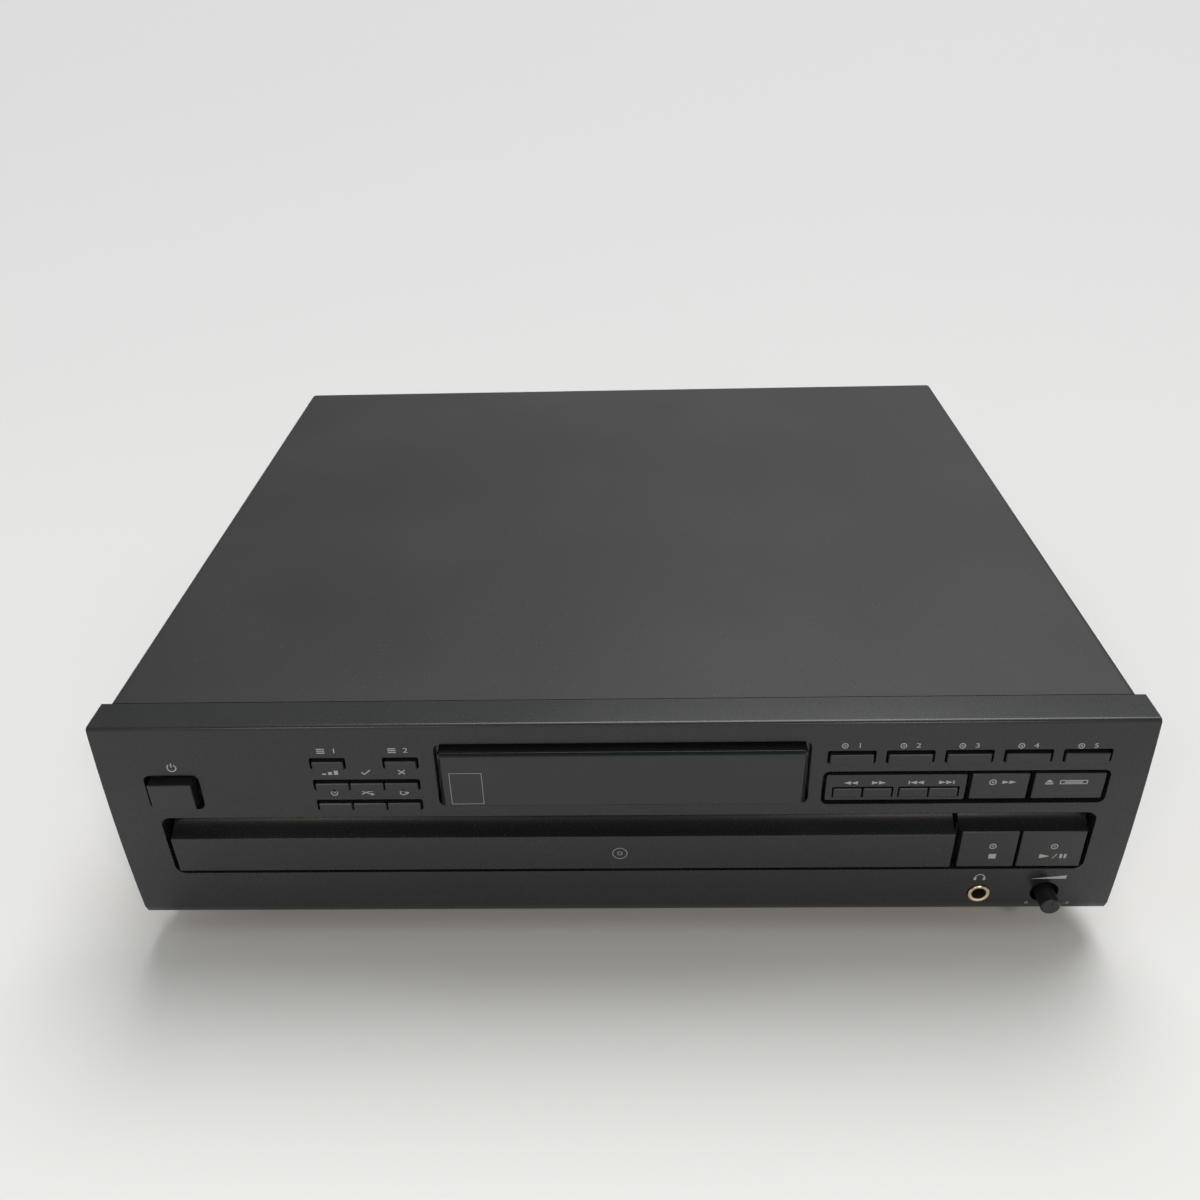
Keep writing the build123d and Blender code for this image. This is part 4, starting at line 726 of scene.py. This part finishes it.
# %% Symbols round the front
power = [band(0, 0, 1.5, 0.42, 125, 415), bar(-0.21, 0.21, 0.3, 2.0)]
phones = [band(0, -0.2, 1.7, 0.4, 0, 180), bar(-2.1, -1.2, -1.4, 0.0), bar(1.2, 2.1, -1.4, 0.0)]
level_ramp = [[[(-6.5, -0.8), (6.5, -0.8), (6.5, 0.9)]]]
receiver = [frame_line(-5.6, 5.6, -6.9, 6.9, 0.16)]
tray_rings = [ring(0, 0, 2.6, 0.22), ring(0, 0, 0.8, 0.2)]
print_symbol("power_mark", power, -188.1, 87.6)
print_symbol("phones_mark", phones, 160.0, 21.2)
print_symbol("level_mark", level_ramp, 190.2, 21.1)
print_symbol("level_least", [], 183.7, 4.0, numbers=[("0", 0, 0, 1.5)])
print_symbol("level_most", [], 201.2, 3.8, numbers=[("10", 0, 0, 1.5)])
print_symbol("receiver_outline", receiver, -63.4, 79.0, "display_window")
print_symbol("tray_mark", tray_rings, 0.2, 37.5, "drawer_front")
print("marks round the front")

# %% [markdown]
# ## Turned pieces
# Rings, screw heads and ribs are turned: one half of the section is drawn as a line of points
# and spun round its axis in edit mode. In the pieces below the axis runs to the front or to
# the back.

# %% Turning
turned_smooth_angle = math.radians(35)


def turned(name, profile, centre, axis, body, material, steps=48):
    """Spins a closed half section of (radius, along) points, in mm, round an axis."""
    axis = Vector(axis)
    side = Vector((0, 0, 1))
    centre = Vector(centre)
    points = [centre + (side * radius + axis * along) * mm for radius, along in profile]
    edges = [(n, (n + 1) % len(points)) for n in range(len(points))]
    mesh = bpy.data.meshes.new(name)
    mesh.from_pydata(points, edges, [])
    piece = bpy.data.objects.new(name, mesh)
    bpy.context.scene.collection.objects.link(piece)
    pick(piece)
    bpy.ops.object.mode_set(mode="EDIT")
    bpy.ops.mesh.select_all(action="SELECT")
    bpy.ops.mesh.spin(steps=steps, angle=2 * math.pi, center=centre, axis=axis)
    bpy.ops.mesh.select_all(action="SELECT")
    bpy.ops.mesh.remove_doubles(threshold=0.002 * mm)
    bpy.ops.mesh.normals_make_consistent(inside=False)
    bpy.ops.object.mode_set(mode="OBJECT")
    bpy.ops.object.shade_smooth_by_angle(angle=turned_smooth_angle)
    return settle(piece, body, material)


def copy_of(piece, name, shift, body, turn=0.0):
    """A copy with its own mesh, turned about the upright axis first and then moved."""
    pick(piece)
    bpy.ops.object.duplicate(linked=False)
    twin = bpy.context.object
    twin.name = name
    twin.parent = None
    twin.matrix_world = Matrix.Translation(Vector(shift)) @ Matrix.Rotation(turn, 4, "Z")
    return settle(twin, body, piece.data.materials[0])


print("turning ready")

# %% [markdown]
# ## Phones ring
# The socket for phones has a gold ring round it, with a flat rim that is bevelled outside and
# a shallow funnel that leads the plug in. The solid is a plain ring, so this one stands for
# it. Its rim lies where the solid's face is, and it is 0.2 mm smaller all round.

# %% Phones ring
ring_low, ring_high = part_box("jack_ring")
socket = middle("jack_ring")
lip = (ring_high.z - ring_low.z) / 2 / mm
ring_section = [(3.3, -0.26), (4.2, 0), (lip - 0.5, 0), (lip - 0.2, -0.3), (lip - 0.2, -3.0),
                (4.0, -3.0), (4.0, -0.28), (3.3, -0.28)]
phones_ring = turned("phones_ring", ring_section, (socket.x, ring_low.y, socket.z), (0, -1, 0),
                     nodes["jack_ring"]["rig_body"], finishes["gold_plate"])
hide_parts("jack_ring")
print("phones ring", round(lip, 2), "mm")

# %% [markdown]
# ## Screw heads
# Four screws hold the rear panel and four hold the sides of the cover. The solids have plain
# round heads. A real head is domed and has a cross in it for the driver, so one is turned, the
# cross is cut with two blocks, and eight copies are set and joined, because the solid that
# they stand for is one piece too.

# %% Screw heads
head_height = 2.2
head_section = [(0, 0), (4, 0), (4, 0.7), (3.3, 1.6), (1.8, 2.15), (0, head_height)]
cross_length = 4.4
cross_width = 0.9
cross_depth = 2.4  # half of it is above the head
rear_screw_x = 200.21 * mm
low_screw_z = 30 * mm
high_screw_z = 110.5 * mm
side_screw_y = (-128.01 * mm, 142.01 * mm)
screw_low, screw_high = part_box("case_screws")
rear_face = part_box("rear_panel")[1].y
cabinet_body = nodes["case_screws"]["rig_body"]
black_screw = finishes["black_screw"]
screw_head = turned("screw_head", head_section, (0, 0, 0), (0, 1, 0), cabinet_body, black_screw,
                    steps=32)
for across, up in ((cross_length, cross_width), (cross_width, cross_length)):
    bpy.ops.mesh.primitive_cube_add(size=1, location=(0, head_height * mm, 0))
    cutter = bpy.context.object
    cutter.dimensions = (across * mm, cross_depth * mm, up * mm)
    pick(cutter)
    bpy.ops.object.transform_apply(location=False, rotation=False, scale=True)
    apply_modifier(screw_head, "BOOLEAN", operation="DIFFERENCE", object=cutter, solver="EXACT")
    bpy.data.objects.remove(cutter)
places = [((side * rear_screw_x, rear_face, z), 0.0) for side in (-1, 1)
          for z in (low_screw_z, high_screw_z)]
for side, side_x in ((1, screw_high.x - head_height * mm), (-1, screw_low.x + head_height * mm)):
    places += [((side_x, y, low_screw_z), -side * math.pi / 2) for y in side_screw_y]
heads = [copy_of(screw_head, f"screw_head_{number}", place, cabinet_body, turn)
         for number, (place, turn) in enumerate(places, 1)]
bpy.data.objects.remove(screw_head)
pick_all(heads)
bpy.ops.object.join()
all_heads = settle(bpy.context.object, cabinet_body, black_screw)
all_heads.name = "case_screw_heads"
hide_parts("case_screws")
print("screw heads", len(places))

# %% [markdown]
# ## Jack collars
# Behind, the two sockets of the output have coloured collars, so that the right and the left
# channel aren't mixed up: red is right and white is left. Seen from behind, the right one is
# on the right. Each is a thin turned sleeve round the metal shell.

# %% Jack collars
sheet = 1.2 * mm
jack_spacing = 14 * mm
jack_height = 34.8 * mm
collar_section = [(4.25, 0), (4.95, 0), (4.95, 1.3), (4.7, 1.55), (4.25, 1.55)]
collar_tones = {
    "right_collar": ((0.45, 0.02, 0.02), (0.55, 0.03, 0.03)),
    "left_collar": ((0.62, 0.62, 0.60), (0.72, 0.72, 0.70)),
}
for side, (name, (dark, light)) in zip((-1, 1), collar_tones.items()):
    collar_plastic = finish(name + "_plastic", dark, light, 0.35, bump=0.005, dust=0)
    collar_place = (middle("output_jacks").x + side * jack_spacing / 2, rear_face - sheet, jack_height)
    turned(name, collar_section, collar_place, (0, 1, 0), cabinet_body, collar_plastic)
print("collars", len(collar_tones), "on the rear at", round(rear_face, 4))

# %% [markdown]
# ## Gland ribs
# The rubber gland, where the mains cord goes in, has ribs round its neck that let it bend
# softly. Two low ribs, a little slanted on both sides as moulded rubber is, sit round it.

# %% Gland ribs
gland_flange = 2
rib_starts = (0.8, 2.3)
rib_section = [(3.6, 0), (5.1, 0.1), (5.1, 0.8), (3.6, 0.9)]
gland = middle("cord_gland")
for number, start in enumerate(rib_starts, 1):
    rib_place = (gland.x, rear_face + (gland_flange + start) * mm, gland.z)
    turned(f"gland_rib_{number}", rib_section, rib_place, (0, 1, 0), cabinet_body,
           finishes["gland_rubber"])
print("gland ribs", len(rib_starts))

# %% [markdown]
# ## Carousel numbers
# Each of the five places on the carousel has its number, which shows when the drawer is open.
# The numbers lie flat on the deck near the rim and between two wells. They are made as text,
# turned so that their feet point outwards, and ride on the wheel, so that they turn with it.

# %% Carousel numbers
place_count = 5
first_place = 54
number_radius = 145 * mm
hub = middle("carousel")
deck_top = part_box("carousel")[1].z
for number in range(1, place_count + 1):
    angle = math.radians(first_place + 360 / place_count * (number - 1))
    mark = flat_number(str(number), 0, 0, 7.0, widen=1.1)
    mark.rotation_euler = (0, 0, angle + math.pi / 2)
    mark.location = (hub.x + number_radius * math.cos(angle), hub.y + number_radius * math.sin(angle),
                     deck_top)
    pick(mark)
    bpy.ops.object.transform_apply(location=True, rotation=True, scale=True)
    apply_modifier(mark, "SOLIDIFY", thickness=ink_thickness, offset=0)
    mark.name = f"place_number_{number}"
    settle(mark, nodes["carousel"]["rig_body"], ink)
print("carousel middle", round(hub.x, 4), round(hub.y, 4))
